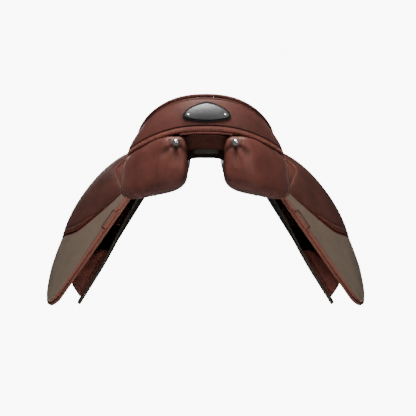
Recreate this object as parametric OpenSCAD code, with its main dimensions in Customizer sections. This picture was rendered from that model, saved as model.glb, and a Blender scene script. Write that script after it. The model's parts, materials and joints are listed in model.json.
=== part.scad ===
// Jumping saddle, built on a spring tree. X points to the rider's right, Y forward, Z up.
// The origin lies on the midline, below the waist, level with the underside of the rear panels.

/* [Seat] */
// Distance from the origin back to the cantle rim
seat_rear = 222; // [212:1:232]
// Distance from the origin forward to the pommel nose
seat_front = 230; // [222:1:238]
// Half width of the seat across the cantle
seat_half = 119; // [112:1:124]
// Half width of the seat at the waist
waist_half = 78; // [75:1:81]
// Height of the cantle rim on the midline
cantle_height = 177; // [168:1:186]
// Height of the lowest point of the seat on the midline
seat_low = 112; // [110:0.5:115]
// Height of the pommel on the midline
pommel_height = 150; // [146:1:156]
// Height of the seat edge at the waist
edge_height = 93; // [92:0.5:95]
// Height of the seat edge at the pommel nose
nose_height = 130; // [126:1:134]
// Thickness of the seat leather
cover_t = 2.5; // [1.8:0.1:3]
// Thickness of the seat foam under the rider
foam_t = 12; // [10:0.5:13]
// Thickness of the seat foam at its edge
foam_edge_t = 2; // [1.5:0.1:3]
// Thickness of the canvas stretched over the tree
canvas_t = 1.6; // [1:0.1:2]
// Diameter of the piping round the seat
piping_dia = 6; // [5:0.5:7]

/* [Cantle] */
// Height of the cantle facing on the midline, from rim to welt
facing_height = 59; // [54:1:62]
// Thickness of the facing leather
facing_t = 2.4; // [1.8:0.1:3]
// Height of the stitched welt under the facing
welt_height = 10; // [8:0.5:11]
// Thickness of the stitched welt
welt_t = 5; // [4:0.5:6]
// Width of the badge plate
badge_w = 74; // [64:1:80]
// Height of the badge plate
badge_h = 28; // [24:1:30]
// Margin of the surround outside the badge plate
badge_rim = 4; // [3:0.5:5]
// Diameter of the badge rivets
badge_rivet_dia = 6; // [4:0.5:7]

/* [Tree] */
// Thickness of the laminated tree rails
tree_t = 6; // [5:0.5:7]
// Half width of the opening between the tree rails
tree_open_half = 31; // [28:1:34]
// Width of each spring steel
spring_w = 15; // [12:1:17]
// Thickness of each spring steel
spring_t = 1.5; // [1:0.1:2]
// Length of the tree head along the saddle
head_len = 22; // [18:1:26]
// Thickness of the steel gullet plate in front of the head
gullet_plate_t = 3; // [2:0.5:4]
// Length of the tree points below the seat edge
point_len = 50; // [40:1:56]

/* [Stirrup bars] */
// Length of the bar that the stirrup leather hangs on
bar_len = 64; // [54:1:70]
// Height of the bar
bar_height = 11; // [9:0.5:12]
// Thickness of the bar
bar_t = 5.5; // [4.5:0.5:6]
// Gap behind the bar for the stirrup leather
bar_gap = 8; // [7:0.5:8.5]
// Thickness of the bar's base plate
bar_plate_t = 3; // [2.5:0.1:3.2]
// Length of the catch at the open end of the bar
catch_len = 18; // [14:1:20]
// Diameter of the catch's pivot
catch_pin_dia = 3; // [2.5:0.1:4]
// Diameter of the rivets that hold the bar to the tree
bar_rivet_dia = 5; // [4:0.5:6]

/* [Panels] */
// Half width of the gullet channel
gullet_half = 31; // [29:1:33]
// Half width across the outside of the rear panels
panel_half = 146; // [142:1:149]
// Thickness of the gullet lining
lining_t = 2.5; // [2:0.1:3]
// Squareness of the panel section, where 2 is an ellipse
panel_square = 3.8; // [3:0.1:5]
// Diameter of the domed nail on each rear panel
nail_dia = 13; // [10:0.5:15]

/* [Flaps] */
// Slope of the flap's rear part below the horizontal, in degrees
flap_slope = 55; // [53:0.5:57]
// Thickness of the flap leather
flap_t = 4.2; // [3.4:0.1:4.6]
// Thickness of the grained cover sewn on the flap
grip_t = 1.3; // [1:0.1:1.6]
// Crown of the knee pad sewn on the flap
knee_pad_crown = 6; // [4:0.5:7]
// Thickness of the skirt leather
skirt_t = 3.6; // [3:0.1:4]
// Length of the skirt below the seat edge
skirt_len = 102; // [94:1:106]
// Inside height of the keeper loop on the flap
keeper_span = 40; // [34:1:44]
// Width of the keeper loop
keeper_w = 15; // [12:1:18]
// Gap under the keeper loop
keeper_gap = 7.5; // [6.5:0.5:8.5]

/* [Sweat flaps] */
// Slope of the sweat flap below the horizontal, in degrees
sweat_slope = 58; // [57:0.5:59]
// Thickness of the sweat flap leather
sweat_t = 3.4; // [2.8:0.1:4]
// Length of the sweat flap down its slope
sweat_len = 316; // [306:1:322]
// Thickness of the fastening fabric under the blocks
fabric_t = 1.5; // [1:0.1:2]
// Height of the knee block
knee_block_h = 26; // [20:1:30]
// Height of the calf block
calf_block_h = 13; // [9:0.5:16]

/* [Girth straps] */
// Width of a girth strap
strap_w = 25; // [22:0.5:26]
// Thickness of a girth strap
strap_t = 3.5; // [3:0.1:4]
// Length of a girth strap below its web
strap_len = 235; // [215:5:240]
// Distance between the middles of two girth straps
strap_pitch = 32; // [30:0.5:34]
// Diameter of the buckle holes
hole_dia = 5; // [4:0.1:6]
// Distance between two buckle holes
hole_pitch = 25; // [22:0.5:26]
// Number of buckle holes in a strap
hole_count = 6; // [3:1:6]
// Thickness of the canvas web above a strap
web_t = 2; // [1.5:0.1:2.2]
// Length of the buckle guard along the straps
guard_len = 70; // [60:1:80]

/* [Breastplate dees] */
// Inside width of the dee
dee_w = 20; // [17:0.5:23]
// Wire diameter of the dee
dee_wire = 3.4; // [3:0.1:4]

/* [Hidden] */

leather = "#6b463e";
dark_leather = "#4a302b";
taupe = "#665856";
black = "#1c1a1b";
chrome = "#c9ccd0";
steel = "#8d9096";
wood = "#b08a5c";
canvas = "#cfc4a8";

// Clearance between pieces of different bodies, between flat layers of one body, and between
// curved layers of one body
clear = 0.3;
lay = 0.12;
soft_lay = 0.6;

// Blends and smooth curves through keys of the form [place, value]
function lerp(a, b, t) = a + (b - a) * t;
function ease(t) = let(c = min(1, max(0, t))) c * c * (3 - 2 * c);
function spow(v, e) = sign(v) * pow(abs(v), e);
function span(keys, t, i = 0) =
    i >= len(keys) - 2 || t <= keys[i + 1][0] ? i : span(keys, t, i + 1);
function curve(keys, t) =
    let(i = span(keys, t), a = keys[i], b = keys[i + 1], h = b[0] - a[0],
        u = min(1, max(0, (t - a[0]) / h)), chord = (b[1] - a[1]) / h,
        ma = i > 0 ? (b[1] - keys[i - 1][1]) / (b[0] - keys[i - 1][0]) : chord,
        mb = i < len(keys) - 2 ? (keys[i + 2][1] - a[1]) / (keys[i + 2][0] - a[0]) : chord)
    a[1] * (2 * u ^ 3 - 3 * u ^ 2 + 1) + ma * (h * (u ^ 3 - 2 * u ^ 2 + u))
    + b[1] * (3 * u ^ 2 - 2 * u ^ 3) + mb * (h * (u ^ 3 - u ^ 2));

// A closed sheet between an outer and an inner grid of points
module sheet(outer, inner) {
    rows = len(outer) - 1;
    cols = len(outer[0]);
    n = (rows + 1) * cols;
    function quad(p, q, r, s) = [[p, q, r], [p, r, s]];
    skin = [for (i = [0 : rows - 1], j = [0 : cols - 2])
        let(a = i * cols + j) each quad(a, a + 1, a + cols + 1, a + cols)];
    back = [for (f = skin) [n + f[0], n + f[2], n + f[1]]];
    sides = [for (i = [0 : rows - 1])
        let(a = i * cols, b = a + cols - 1)
        each concat(quad(a, a + cols, n + a + cols, n + a),
                    quad(b + cols, b, n + b, n + b + cols))];
    ends = [for (j = [0 : cols - 2])
        let(d = rows * cols + j)
        each concat(quad(j + 1, j, n + j, n + j + 1), quad(d, d + 1, n + d + 1, n + d))];
    polyhedron(points = concat([for (r = outer) each r], [for (r = inner) each r]),
               faces = concat(skin, back, sides, ends));
}

// A closed body lofted through rings of points, open rings in a loop when ring is true
module loft(rings, ring = false) {
    count = len(rings);
    k = len(rings[0]);
    last = ring ? count - 1 : count - 2;
    walls = [for (i = [0 : last], j = [0 : k - 1])
        let(a = i * k + j, b = i * k + (j + 1) % k, i2 = (i + 1) % count,
            c = i2 * k + (j + 1) % k, d = i2 * k + j)
        each [[a, b, c], [a, c, d]]];
    caps = ring ? [] : [[for (j = [0 : k - 1]) k - 1 - j],
                        [for (j = [0 : k - 1]) (count - 1) * k + j]];
    polyhedron(points = [for (r = rings) each r], faces = concat(walls, caps));
}

// A round or flattened ring at a point of a path, across the path, with its thickness along out
function path_ring(p, along, out, half_t, half_h, k = 8) =
    let(o = out / norm(out), up = cross(o, along), v = up / norm(up))
    [for (j = [0 : k - 1]) let(a = 360 * j / k) p + o * (half_t * cos(a)) + v * (half_h * sin(a))];

module side(s) mirror([s < 0 ? 1 : 0, 0, 0]) children();

// Seat: plan outline, edge height and middle height, then the surface
seat_wide_y = -100;
waist_start = 100;
nose_y = 150;
rear_square = 2.35;
nose_square = 2.5;
pipe_r = piping_dia / 2;
seat_inset = pipe_r + 1.5 * soft_lay;

function rear_end(y, inset) =
    let(t = min(1, (seat_wide_y - y) / (seat_rear + seat_wide_y - inset)))
    y > seat_wide_y ? 1 : pow(max(0, 1 - pow(t, rear_square)), 1 / rear_square);
function nose_end(y, inset) =
    let(t = min(1, (y - nose_y) / (seat_front - nose_y - inset)))
    y < nose_y ? 1 : pow(max(0, 1 - pow(t, nose_square)), 1 / nose_square);
function seat_w(y, inset = 0) =
    (lerp(seat_half, waist_half, ease((y - seat_wide_y) / waist_start)) - inset)
    * rear_end(y, inset) * nose_end(y, inset);
function seat_edge(y) =
    y < 0 ? edge_height + (cantle_height - edge_height) * pow(-y / seat_rear, 2.4)
          : edge_height + (nose_height - edge_height) * pow(y / seat_front, 2);
nose_roll = 35;
function seat_mid(y) =
    y < 0 ? seat_low + (cantle_height - seat_low) * pow(-y / seat_rear, 3)
          : seat_low + (pommel_height - seat_low) * ease((y - 10) / (seat_front - 40))
            - (pommel_height - nose_height) * pow(max(0, (y - seat_front + nose_roll) / nose_roll), 2);
function seat_z(x, y) =
    seat_mid(y) + (seat_edge(y) - seat_mid(y)) * pow(min(1, abs(x) / max(1, seat_w(y))), 2.3);
function seat_gain(x, y) =
    let(dx = (seat_z(x + 1, y) - seat_z(x - 1, y)) / 2, dy = (seat_z(x, y + 1) - seat_z(x, y - 1)) / 2)
    min(1.6, sqrt(1 + dx * dx + dy * dy));

// Depths below the seat's top, measured square to it
function foam_here(x, y) =
    let(u = min(1, abs(x) / max(1, seat_w(y))), r = max(0, (-y - 120) / (seat_rear - 120)))
    foam_edge_t + (foam_t - foam_edge_t) * (1 - pow(u, 3)) * (1 - r * r);
function under(x, y, depth) = seat_z(x, y) - depth * seat_gain(x, y);
function foam_under(x, y) = under(x, y, cover_t + lay + foam_here(x, y));
function canvas_top(x, y) = foam_under(x, y) - soft_lay;
function tree_top(x, y) = canvas_top(x, y) - canvas_t - 3.5 * soft_lay;
function tree_bottom(x, y) = tree_top(x, y) - tree_t * 1.1;

// Sections of the seat, close together at both ends
function stations(a, b, n) = [for (i = [0 : n]) lerp(a, b, (1 - cos(180 * i / n)) / 2)];
function across(n) = [for (j = [0 : n]) 2 * j / n - 1];

module seat_layer(inset, rows, cols, top, bottom) {
    ys = stations(-seat_rear + inset + 0.8, seat_front - inset - 0.8, rows);
    us = across(cols);
    sheet([for (y = ys) [for (u = us) let(x = -u * seat_w(y, inset)) [x, y, top(x, y)]]],
          [for (y = ys) [for (u = us) let(x = -u * seat_w(y, inset)) [x, y, bottom(x, y)]]]);
}

module seat_cover() {
    color(leather)
        seat_layer(seat_inset, 26, 12, function (x, y) seat_z(x, y),
                   function (x, y) under(x, y, cover_t));
}

module seat_foam() {
    color("#d8d2b4")
        seat_layer(seat_inset, 26, 12, function (x, y) under(x, y, cover_t + lay),
                   function (x, y) foam_under(x, y));
}

// The seat's rim on the right, by a fraction that runs from the middle of the cantle forward
function rim_y(q, y_end) = -seat_rear + (seat_rear + y_end) * pow(abs(q), rear_square);
function rim(q, y_end) = let(y = rim_y(q, y_end)) [sign(q) * seat_w(y), y, seat_edge(y)];
function rim_out(q, y_end) =
    let(d = 0.004, a = rim(min(1, q + d), y_end), b = rim(max(-1, q - d), y_end), t = a - b,
        n = [t[1], -t[0], 0]) n / norm(n);

// The whole rim as a loop of points, for the piping
function loop_rim(a) =
    let(c = cos(a), s = sin(a), y = c < 0
            ? seat_wide_y + (seat_rear + seat_wide_y) * spow(c, 2 / rear_square)
            : seat_wide_y + (seat_front - seat_wide_y) * spow(c, 2 / nose_square),
        w = seat_w(y)) [s < 0 ? -w : w, y, seat_edge(y)];
function even_loop(n) =
    let(fine = [for (i = [0 : 359]) loop_rim(i + 0.01)],
        step = [for (i = [0 : 359]) norm(fine[(i + 1) % 360] - fine[i])],
        run = [for (i = 0, t = 0; i <= 360; t = t + step[i % 360], i = i + 1) t])
    [for (k = [0 : n - 1]) let(goal = run[360] * k / n,
        i = [for (j = [0 : 359]) if (run[j] <= goal && goal < run[j + 1]) j][0])
        lerp(fine[i], fine[(i + 1) % 360], (goal - run[i]) / step[i])];

module seat_piping() {
    loop = even_loop(68);
    n = len(loop);
    color(dark_leather)
        loft([for (i = [0 : n - 1])
            let(t = loop[(i + 1) % n] - loop[(i + n - 1) % n], p = loop[i] - [0, 0, pipe_r * 0.6])
            path_ring(p, t, [t[1], -t[0], 0], pipe_r - lay, pipe_r - lay, 8)], ring = true);
}

// Tree
tree_inset = 10;
canvas_inset = 20;
open_rear = -120;
open_front = 112;

module seat_canvas() {
    ys = [for (i = [0 : 14]) lerp(-150, 138, i / 14)];
    function row(y, drop) = [for (u = across(10))
        let(x = -u * (seat_w(y) - canvas_inset)) [x, y, canvas_top(x, y) - drop]];
    color(canvas) sheet([for (y = ys) row(y, 0)], [for (y = ys) row(y, canvas_t)]);
}

// The tree is a ring in plan: from its opening out to its edge
function tree_plan(a, r) =
    let(s = sin(a), c = cos(a),
        yo = c < 0 ? seat_wide_y + (seat_rear + seat_wide_y - tree_inset) * spow(c, 2 / rear_square)
                   : seat_wide_y + (nose_y - seat_wide_y) * spow(c, 0.6),
        edge = [sign(s) * seat_w(yo, tree_inset) * (c > 0 ? min(1, abs(s) / 0.25) : 1), yo],
        hole_mid = (open_front + open_rear) / 2,
        hole = [tree_open_half * spow(s, 0.7), hole_mid + (open_front - hole_mid) * spow(c, 0.9)])
    lerp(hole, edge, r);

module tree_frame() {
    n = 44;
    steps = [0, 0.35, 0.7, 1];
    top = [for (i = [0 : n - 1]) [for (r = steps) let(p = tree_plan(360 * i / n, r))
        [p[0], p[1], tree_top(p[0], p[1])]]];
    low = [for (i = [0 : n - 1]) [for (r = steps) let(p = tree_plan(360 * i / n, 1 - r))
        [p[0], p[1], tree_bottom(p[0], p[1])]]];
    color(wood) loft([for (i = [0 : n - 1]) concat(top[i], low[i])], ring = true);
}

spring_x = tree_open_half + 6;
module spring_steels() {
    ys = [for (i = [0 : 14]) lerp(-112, 122, i / 14)];
    function row(y, drop) = [for (x = [spring_x + spring_w, spring_x])
        [x, y, tree_bottom(x, y) - soft_lay - drop]];
    color(steel) for (s = [-1, 1]) side(s)
        sheet([for (y = ys) row(y, 0)], [for (y = ys) row(y, spring_t)]);
}

// Sweat flap line: down its slope by s, out from it by n, at the waist
sweat_top = [78, 74];
sweat_dir = [cos(sweat_slope), -sin(sweat_slope)];
sweat_nrm = [sin(sweat_slope), cos(sweat_slope)];
function sw(s, n) = sweat_top + sweat_dir * s + sweat_nrm * n;
module on_sweat() translate([sweat_top[0], 0, sweat_top[1]]) rotate([0, sweat_slope, 0]) children();

// Tree head: a laminated arch with two points that run down behind the sweat flaps
head_y = nose_y + 2;
point_in = 10;
point_out = 3;
module head_profile(grow) {
    half = [for (x = [0, 14, 28, 42, 54, 62]) [x + grow * x / 60, foam_under(x, head_y) - soft_lay + grow]];
    arms = [sw(-14, -point_out), sw(point_len, -point_out), sw(point_len, -point_in),
            sw(-4, -point_in - 1), [56, 90], [45, 101], [26, 110 - grow], [0, 113 - grow]];
    all = concat(half, arms);
    polygon(concat(all, [for (i = [len(all) - 2 : -1 : 1]) [-all[i][0], all[i][1]]]));
}
module upright(y, len) translate([0, y + len, 0]) rotate([90, 0, 0]) linear_extrude(len) children();

module tree_head() color(wood) upright(head_y, head_len) head_profile(0);
module gullet_plate() color(steel) upright(head_y + head_len + lay, gullet_plate_t) head_profile(-1.5);

// Cantle facing: from the rim down and out to the welt
facing_end = -34;
facing_out_keys = [[-seat_rear, 10], [-190, 15], [-150, 18], [-100, 18], [-75, 15], [-50, 7],
                   [facing_end, 2]];
facing_drop_keys = [[-seat_rear, 1], [-190, 0.89], [-165, 0.79], [-135, 0.65], [-100, 0.60],
                    [-70, 0.53], [-50, 0.34], [facing_end, 0.18]];
function facing_drop(y) = facing_height * curve(facing_drop_keys, y);
function welt_at(q) =
    let(p = rim(q, facing_end), o = rim_out(q, facing_end))
    p + o * curve(facing_out_keys, p[1]) - [0, 0, facing_drop(p[1])];
function facing_at(q, v, n) =
    let(p = rim(q, facing_end), o = rim_out(q, facing_end), w = welt_at(q),
        top = p - [0, 0, pipe_r * 1.7], low = w + [0, 0, welt_height / 2 + soft_lay],
        lean = low - top, up = [0, 0, 1], face = o + up * ((-lean * o) / max(1, -lean * up) * -1))
    lerp(top, low, v) + o * (3 * sin(180 * v) + 1) + o * n;

module cantle_facing() {
    qs = [for (i = [0 : 40]) 1 - i / 20];
    vs = [0, 0.25, 0.5, 0.75, 1];
    color(leather)
        sheet([for (q = qs) [for (v = vs) facing_at(q, v, 0)]],
              [for (q = qs) [for (v = vs) facing_at(q, v, -facing_t)]]);
}

module cantle_welt() {
    n = 48;
    color(dark_leather)
        loft([for (i = [0 : n]) let(q = 1 - 2 * i / n, d = 0.01,
            t = welt_at(max(-1, q - d)) - welt_at(min(1, q + d)))
            path_ring(welt_at(q), t, rim_out(q, facing_end), welt_t / 2,
                      welt_height / 2 - lay, 8)]);
}

// Badge: a rounded triangle that widens downwards, laid on the facing
badge_mid = cantle_height - facing_height / 2 - 0.5;
badge_x = 2;
badge_low = 0.45;
function badge_edge(a, grow) =
    let(k = cos(a), s = sin(a), half = badge_w / 2 + grow, tall = badge_h / 2 + grow,
        rise = s > 0 ? (1 + badge_low) * spow(s, 1.15) : (1 - badge_low) * spow(s, 0.8))
    [badge_x + half * spow(k, 1.4), badge_mid + tall * (rise - badge_low)];
function facing_y(x, z) =
    let(q = x / seat_half / 1.97, p = facing_at(q, 0, 0), w = facing_at(q, 1, 0),
        v = (p[2] - z) / max(1, p[2] - w[2])) facing_at(q, v, 0)[1];
module badge_disc(grow, n0, n1) {
    m = 28;
    function ring(r, n) = [for (j = [0 : m - 1])
        let(p = badge_edge(360 * j / m, grow) * r + [badge_x, badge_mid] * (1 - r))
        [p[0], facing_y(p[0], p[1]) - n, p[1]]];
    loft([ring(0.1, n1), ring(0.6, n1), ring(1, n1), ring(1, n0), ring(0.6, n0), ring(0.1, n0)]);
}
surround_t = 2;
plate_t = 1.2;
module badge_surround() color(black) badge_disc(badge_rim, lay, lay + surround_t);
module badge_plate()
    color(steel) badge_disc(0, 2 * lay + surround_t, 2 * lay + surround_t + plate_t);
module badge_rivets() {
    z = badge_mid - badge_h * 0.22;
    color(chrome) for (s = [-1, 1]) {
        x = badge_x + s * (badge_w / 2 - badge_rivet_dia);
        translate([x, facing_y(x, z) - 1.5 * soft_lay - surround_t - plate_t, z]) rotate([90, 0, 0])
            dome(badge_rivet_dia, 1.5);
    }
}

// A domed head with a flat back, standing on the XY plane
module dome(dia, height) {
    r = (dia * dia / 4 + height * height) / (2 * height);
    intersection() {
        translate([0, 0, height - r]) sphere(r, $fn = 48);
        cylinder(h = height + 1, r = dia / 2, $fn = 48);
    }
}

// Gullet lining: the ceiling of the channel
lining_keys = [[-226, 108], [-205, 106.5], [-150, 96], [-80, 84.5], [0, 79], [60, 80], [120, 87],
               [170, 96], [206, 102]];
lining_half = gullet_half + 7;
function lining_under(y) = curve(lining_keys, y);
module gullet_lining() {
    ys = [for (i = [0 : 18]) lerp(-226, 206, i / 18)];
    us = across(4);
    function row(up) = [for (y = ys) [for (u = us)
        [-u * lining_half, y, lining_under(y) + up - 1.2 * u * u]]];
    color(leather) sheet(row(lining_t), row(0));
}

// The leather over the front of the head, with the arch cut in it
facing_front_y = 207;
head_arch = 88;
head_round = 24;
module head_facing() {
    color(leather) upright(facing_front_y, cover_t) difference() {
        polygon(concat([for (u = across(12)) let(x = u * (seat_w(facing_front_y) - 1))
                           [x, min([for (y = [0, cover_t])
                               foam_under(x, facing_front_y + y)]) - soft_lay]],
                       [[70, 92], [66, 74], [-66, 74], [-70, 92]]));
        translate([-gullet_half - 1, 60]) square([2 * gullet_half + 2, head_arch - 60]);
        translate([0, head_arch]) intersection() {
            circle(r = gullet_half + 1, $fn = 64);
            translate([-gullet_half - 1, 0]) square([2 * gullet_half + 2, head_round]);
        }
    }
}

// Panels: four corners of the section along the saddle, filled by a rounded square
panel_gap = sweat_t / 2 + clear;
function front_corners(y, length, inner_low) =
    [[gullet_half, lining_under(y) - 1.4], sw(6, -panel_gap), sw(length, -panel_gap),
     [gullet_half + 2, inner_low]];
function rear_corners(y, b, c, d) = [[gullet_half, lining_under(y) - 1.4], b, c, [gullet_half + 1, d]];
panel_keys = [
    [-241, [[48, 88], [62, 86], [64, 50], [46, 52]]],
    [-236, [[35, 102], [72, 99], [83, 29], [36, 34]]],
    [-224, rear_corners(-224, [84, 99], [99, 13], 24)],
    [-200, rear_corners(-200, [103, 93], [120, 4], 20)],
    [-172, rear_corners(-172, [123, 84], [panel_half - 8, -2], 17)],
    [-140, rear_corners(-140, [135, 76], [panel_half, -4], 17)],
    [-105, rear_corners(-105, [138, 67], [panel_half + 2, -4], 20)],
    [-84, rear_corners(-84, [130, 60], [142, -3], 25)],
    [-66, rear_corners(-66, [99, 61], [128, 0], 32)],
    [-50, front_corners(-50, 84, 34)],
    [0, front_corners(0, 84, 41)],
    [60, front_corners(60, 84, 43)],
    [120, front_corners(120, 88, 47)],
    [170, front_corners(170, 92, 54)],
    [194, front_corners(194, 84, 62)],
    [202, [[44, 94], [76, 79], [106, 25], [48, 68]]],
    [206, [[54, 84], [76, 75], [92, 45], [56, 66]]]];
// In front the panel draws back from the sweat flap, to leave room for the tree's point
panel_back = point_in + 1 + clear - panel_gap;
function panel_ring(y, k) =
    let(c = curve(panel_keys, y), back = sweat_nrm * panel_back * ease((y - 96) / 36))
    [for (j = [0 : k - 1])
        let(a = 360 * j / k, e = 2 / panel_square, u = (spow(cos(a), e) + 1) / 2,
            v = (spow(sin(a), e) + 1) / 2,
            p = lerp(lerp(c[3], c[2] - back, u), lerp(c[0], c[1] - back, u), v))
        [p[0], y, p[1]]];
module panel(s) {
    ys = [-241, -239.5, -236, -230, -222, -210, -194, -174, -150, -124, -100, -84, -72, -60, -45,
          -15, 25, 66, 94, 112, 134, 176, 190, 198, 203, 206];
    color(leather) side(s) loft([for (y = ys) panel_ring(y, 22)]);
}
nail_at = [50, 95];
module panel_nails() color(chrome) for (s = [-1, 1]) side(s)
    translate([nail_at[0], -241 - clear, nail_at[1]]) rotate([90, 0, 0]) dome(nail_dia, 4.5);

// Flap surface: a straight slope behind the leg, swelling out over the shoulder
hinge_x = waist_half + pipe_r + clear;
hinge_rise = 0.09;
hinge_drop = 5.6;
function hinge_z(y) = edge_height - hinge_drop + hinge_rise * y;
swell_keys = [[0, [0, 0]], [71, [66, -16]], [111, [100, -36]], [158, [134, -68]],
              [213, [167, -112]], [270, [194, -162]], [340, [220, -227]], [395, [232, -281]]];
function swell(y) = ease((y + 20) / 220);
function flap_mid(y, s) =
    let(d = lerp([s * cos(flap_slope), -s * sin(flap_slope)], curve(swell_keys, s), swell(y)))
    [hinge_x + d[0], y, hinge_z(y) + d[1]];
function sweat_mid(y, s) =
    let(d = lerp(sweat_dir * s, curve(swell_keys, s), 0.62 * ease((y - 132) / 114)))
    [sweat_top[0] + d[0], y, sweat_top[1] + d[1]];
function lift(f, y, s, n) =
    let(a = f(y, s + 2) - f(y, s - 2), b = f(y + 2, s) - f(y - 2, s), c = cross(a, b))
    f(y, s) + c / norm(c) * n;

// A patch in (y, s) between four sides, each a list of evenly spaced points
function on_side_at(pts, t) = curve([for (i = [0 : len(pts) - 1]) [i / (len(pts) - 1), pts[i]]], t);
function patch_at(sides, u, v) =
    let(top = sides[0], low = sides[1], rear = sides[2], front = sides[3],
        c00 = top[0], c10 = top[len(top) - 1], c01 = low[0], c11 = low[len(low) - 1])
    lerp(on_side_at(top, u), on_side_at(low, u), v) + lerp(on_side_at(rear, v), on_side_at(front, v), u)
    - lerp(lerp(c00, c10, u), lerp(c01, c11, u), v);
function dome_at(u, v, e) = pow(max(0, (1 - pow(abs(2 * u - 1), e)) * (1 - pow(abs(2 * v - 1), e))), 0.5);

// Leather cut to a patch and laid on a surface, from n0 to n1, with an even crown on top
module cut_leather(f, sides, rows, cols, n0, n1, crown = 0, e = 4) {
    function grid(n, c) = [for (i = [0 : rows]) [for (j = [0 : cols])
        let(u = j / cols, v = i / rows, p = patch_at(sides, u, v))
        lift(f, p[0], p[1], n + c * dome_at(u, v, e))]];
    sheet(grid(n1, crown), grid(n0, 0));
}
flap_f = function (y, s) flap_mid(y, s);
sweat_f = function (y, s) sweat_mid(y, s);
function scaled(pts, k) = [for (p = pts) [p[0], p[1] * k]];

// Flap: four sides in (y, s), with a bay in the top side round the stirrup bar
flap_sides = [
    [[-23, 1], [0, 1], [22, 1], [34, 40], [56, 78], [94, 90], [128, 76], [146, 30], [160, 1], [190, 1]],
    [[-12, 330], [40, 364], [90, 379], [140, 378], [178, 360]],
    [[-23, 1], [-29, 32], [-42, 64], [-58, 94], [-70, 130], [-69, 182], [-58, 240], [-40, 288],
     [-12, 330]],
    [[190, 1], [218, 18], [246, 50], [270, 95], [284, 145], [288, 195], [280, 245], [256, 295],
     [222, 336], [178, 360]]];
grip_sides = [
    [[-50, 102], [-10, 102], [44, 102]],
    [[-8, 320], [40, 353], [90, 369], [140, 367], [182, 349], [218, 328], [242, 309]],
    [[-50, 102], [-59, 135], [-57, 182], [-47, 236], [-30, 282], [-8, 320]],
    [[44, 102], [60, 150], [80, 196], [108, 243], [150, 273], [200, 296], [242, 309]]];
pad_sides = [
    [[54, 110], [102, 112], [156, 106], [168, 60], [178, 12]],
    [[84, 192], [112, 238], [152, 268], [200, 290], [244, 303]],
    [[54, 110], [67, 150], [84, 192]],
    [[178, 12], [212, 26], [242, 60], [264, 105], [277, 155], [280, 205], [272, 256], [244, 303]]];
grip_n = flap_t / 2 + 1.4 * soft_lay;
module flap(s) color(leather) side(s)
    cut_leather(flap_f, flap_sides, 16, 14, -flap_t / 2, flap_t / 2);
module flap_grip(s) color(taupe) side(s)
    cut_leather(flap_f, grip_sides, 12, 12, grip_n, grip_n + grip_t);
module knee_pad(s) color(leather) side(s)
    cut_leather(flap_f, pad_sides, 10, 12, grip_n, grip_n + 0.8, knee_pad_crown);

// Skirt: starts clear of the piping, so that it can turn up beside it
skirt_k = skirt_len / 102;
skirt_rear_y = -22;
skirt_front_y = 150;
function skirt_start(y) =
    max(6 + 6 * ease((y - 100) / 50), (seat_w(y) + pipe_r + 1 - hinge_x) / cos(flap_slope));
skirt_sides = [
    [for (i = [0 : 6]) let(y = lerp(skirt_rear_y, skirt_front_y, i / 6)) [y, skirt_start(y)]],
    scaled([[-2, 92], [40, 102], [80, 103], [118, 98], [142, 84]], skirt_k),
    concat([[skirt_rear_y, skirt_start(skirt_rear_y)]], scaled([[-27, 44], [-20, 72], [-2, 92]], skirt_k)),
    concat([[skirt_front_y, skirt_start(skirt_front_y)]],
           scaled([[154, 34], [153, 60], [142, 84]], skirt_k))];
skirt_n = grip_n + grip_t + 2 * clear;
module skirt(s) color(leather) side(s)
    cut_leather(flap_f, skirt_sides, 7, 12, skirt_n, skirt_n + skirt_t);

// Keeper loop on the flap's straight rear part
keeper_y = -46;
keeper_s = 132;
keeper_t = 2;
module on_flap(y) translate([hinge_x, y, hinge_z(y)]) rotate([0, flap_slope, 0]) children();
module leather_keeper(s) color(leather) side(s) on_flap(keeper_y) {
    base = grip_n + grip_t + lay;
    foot = 6;
    lean = asin(hinge_rise * cos(flap_slope));
    rotate([lean, 0, 0]) translate([keeper_s, 0, base]) rotate([-90, 0, 0]) translate([0, 0, -keeper_w / 2])
        linear_extrude(keeper_w) {
            translate([-foot, -keeper_t]) square([foot + 3, keeper_t]);
            translate([keeper_span - 3, -keeper_t]) square([foot + 3, keeper_t]);
            difference() {
                translate([0, -keeper_gap - keeper_t]) square([keeper_span, keeper_gap + keeper_t]);
                translate([keeper_t, -keeper_gap]) square([keeper_span - 2 * keeper_t, keeper_gap + 1]);
            }
        }
}

// Sweat flap, with the blocks and fabric on its outside
sweat_k = sweat_len / 316;
sweat_sides = [
    scaled([[-36, 6], [40, 6], [120, 6], [188, 6]], sweat_k),
    scaled([[6, 306], [50, 316], [100, 316], [140, 300]], sweat_k),
    scaled([[-36, 6], [-46, 60], [-50, 120], [-44, 180], [-28, 240], [6, 306]], sweat_k),
    scaled([[188, 6], [214, 50], [228, 110], [222, 170], [196, 240], [140, 300]], sweat_k)];
fabric_sides = [[[152, 50], [206, 46]], [[130, 246], [184, 226]],
                [[152, 50], [138, 140], [130, 246]], [[206, 46], [216, 120], [184, 226]]];
knee_sides = [[[160, 62], [200, 58]], [[146, 216], [178, 208]],
              [[160, 62], [150, 136], [146, 216]], [[200, 58], [208, 126], [178, 208]]];
calf_sides = [[[-32, 196], [18, 206]], [[4, 292], [29, 300]],
              [[-32, 196], [-20, 246], [4, 292]], [[18, 206], [26, 252], [29, 300]]];
fabric_n = sweat_t / 2 + 2.2 * soft_lay;
calf_n = sweat_t / 2 + clear;
module sweat_flap(s) color(dark_leather) side(s)
    cut_leather(sweat_f, sweat_sides, 12, 11, -sweat_t / 2, sweat_t / 2);
module block_fabric(s) color(black) side(s)
    cut_leather(sweat_f, fabric_sides, 8, 6, fabric_n, fabric_n + fabric_t);
module knee_block(s) color(black) side(s)
    cut_leather(sweat_f, knee_sides, 10, 8, fabric_n + fabric_t + soft_lay, fabric_n + fabric_t + 3,
                knee_block_h - 3, 3);
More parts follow.
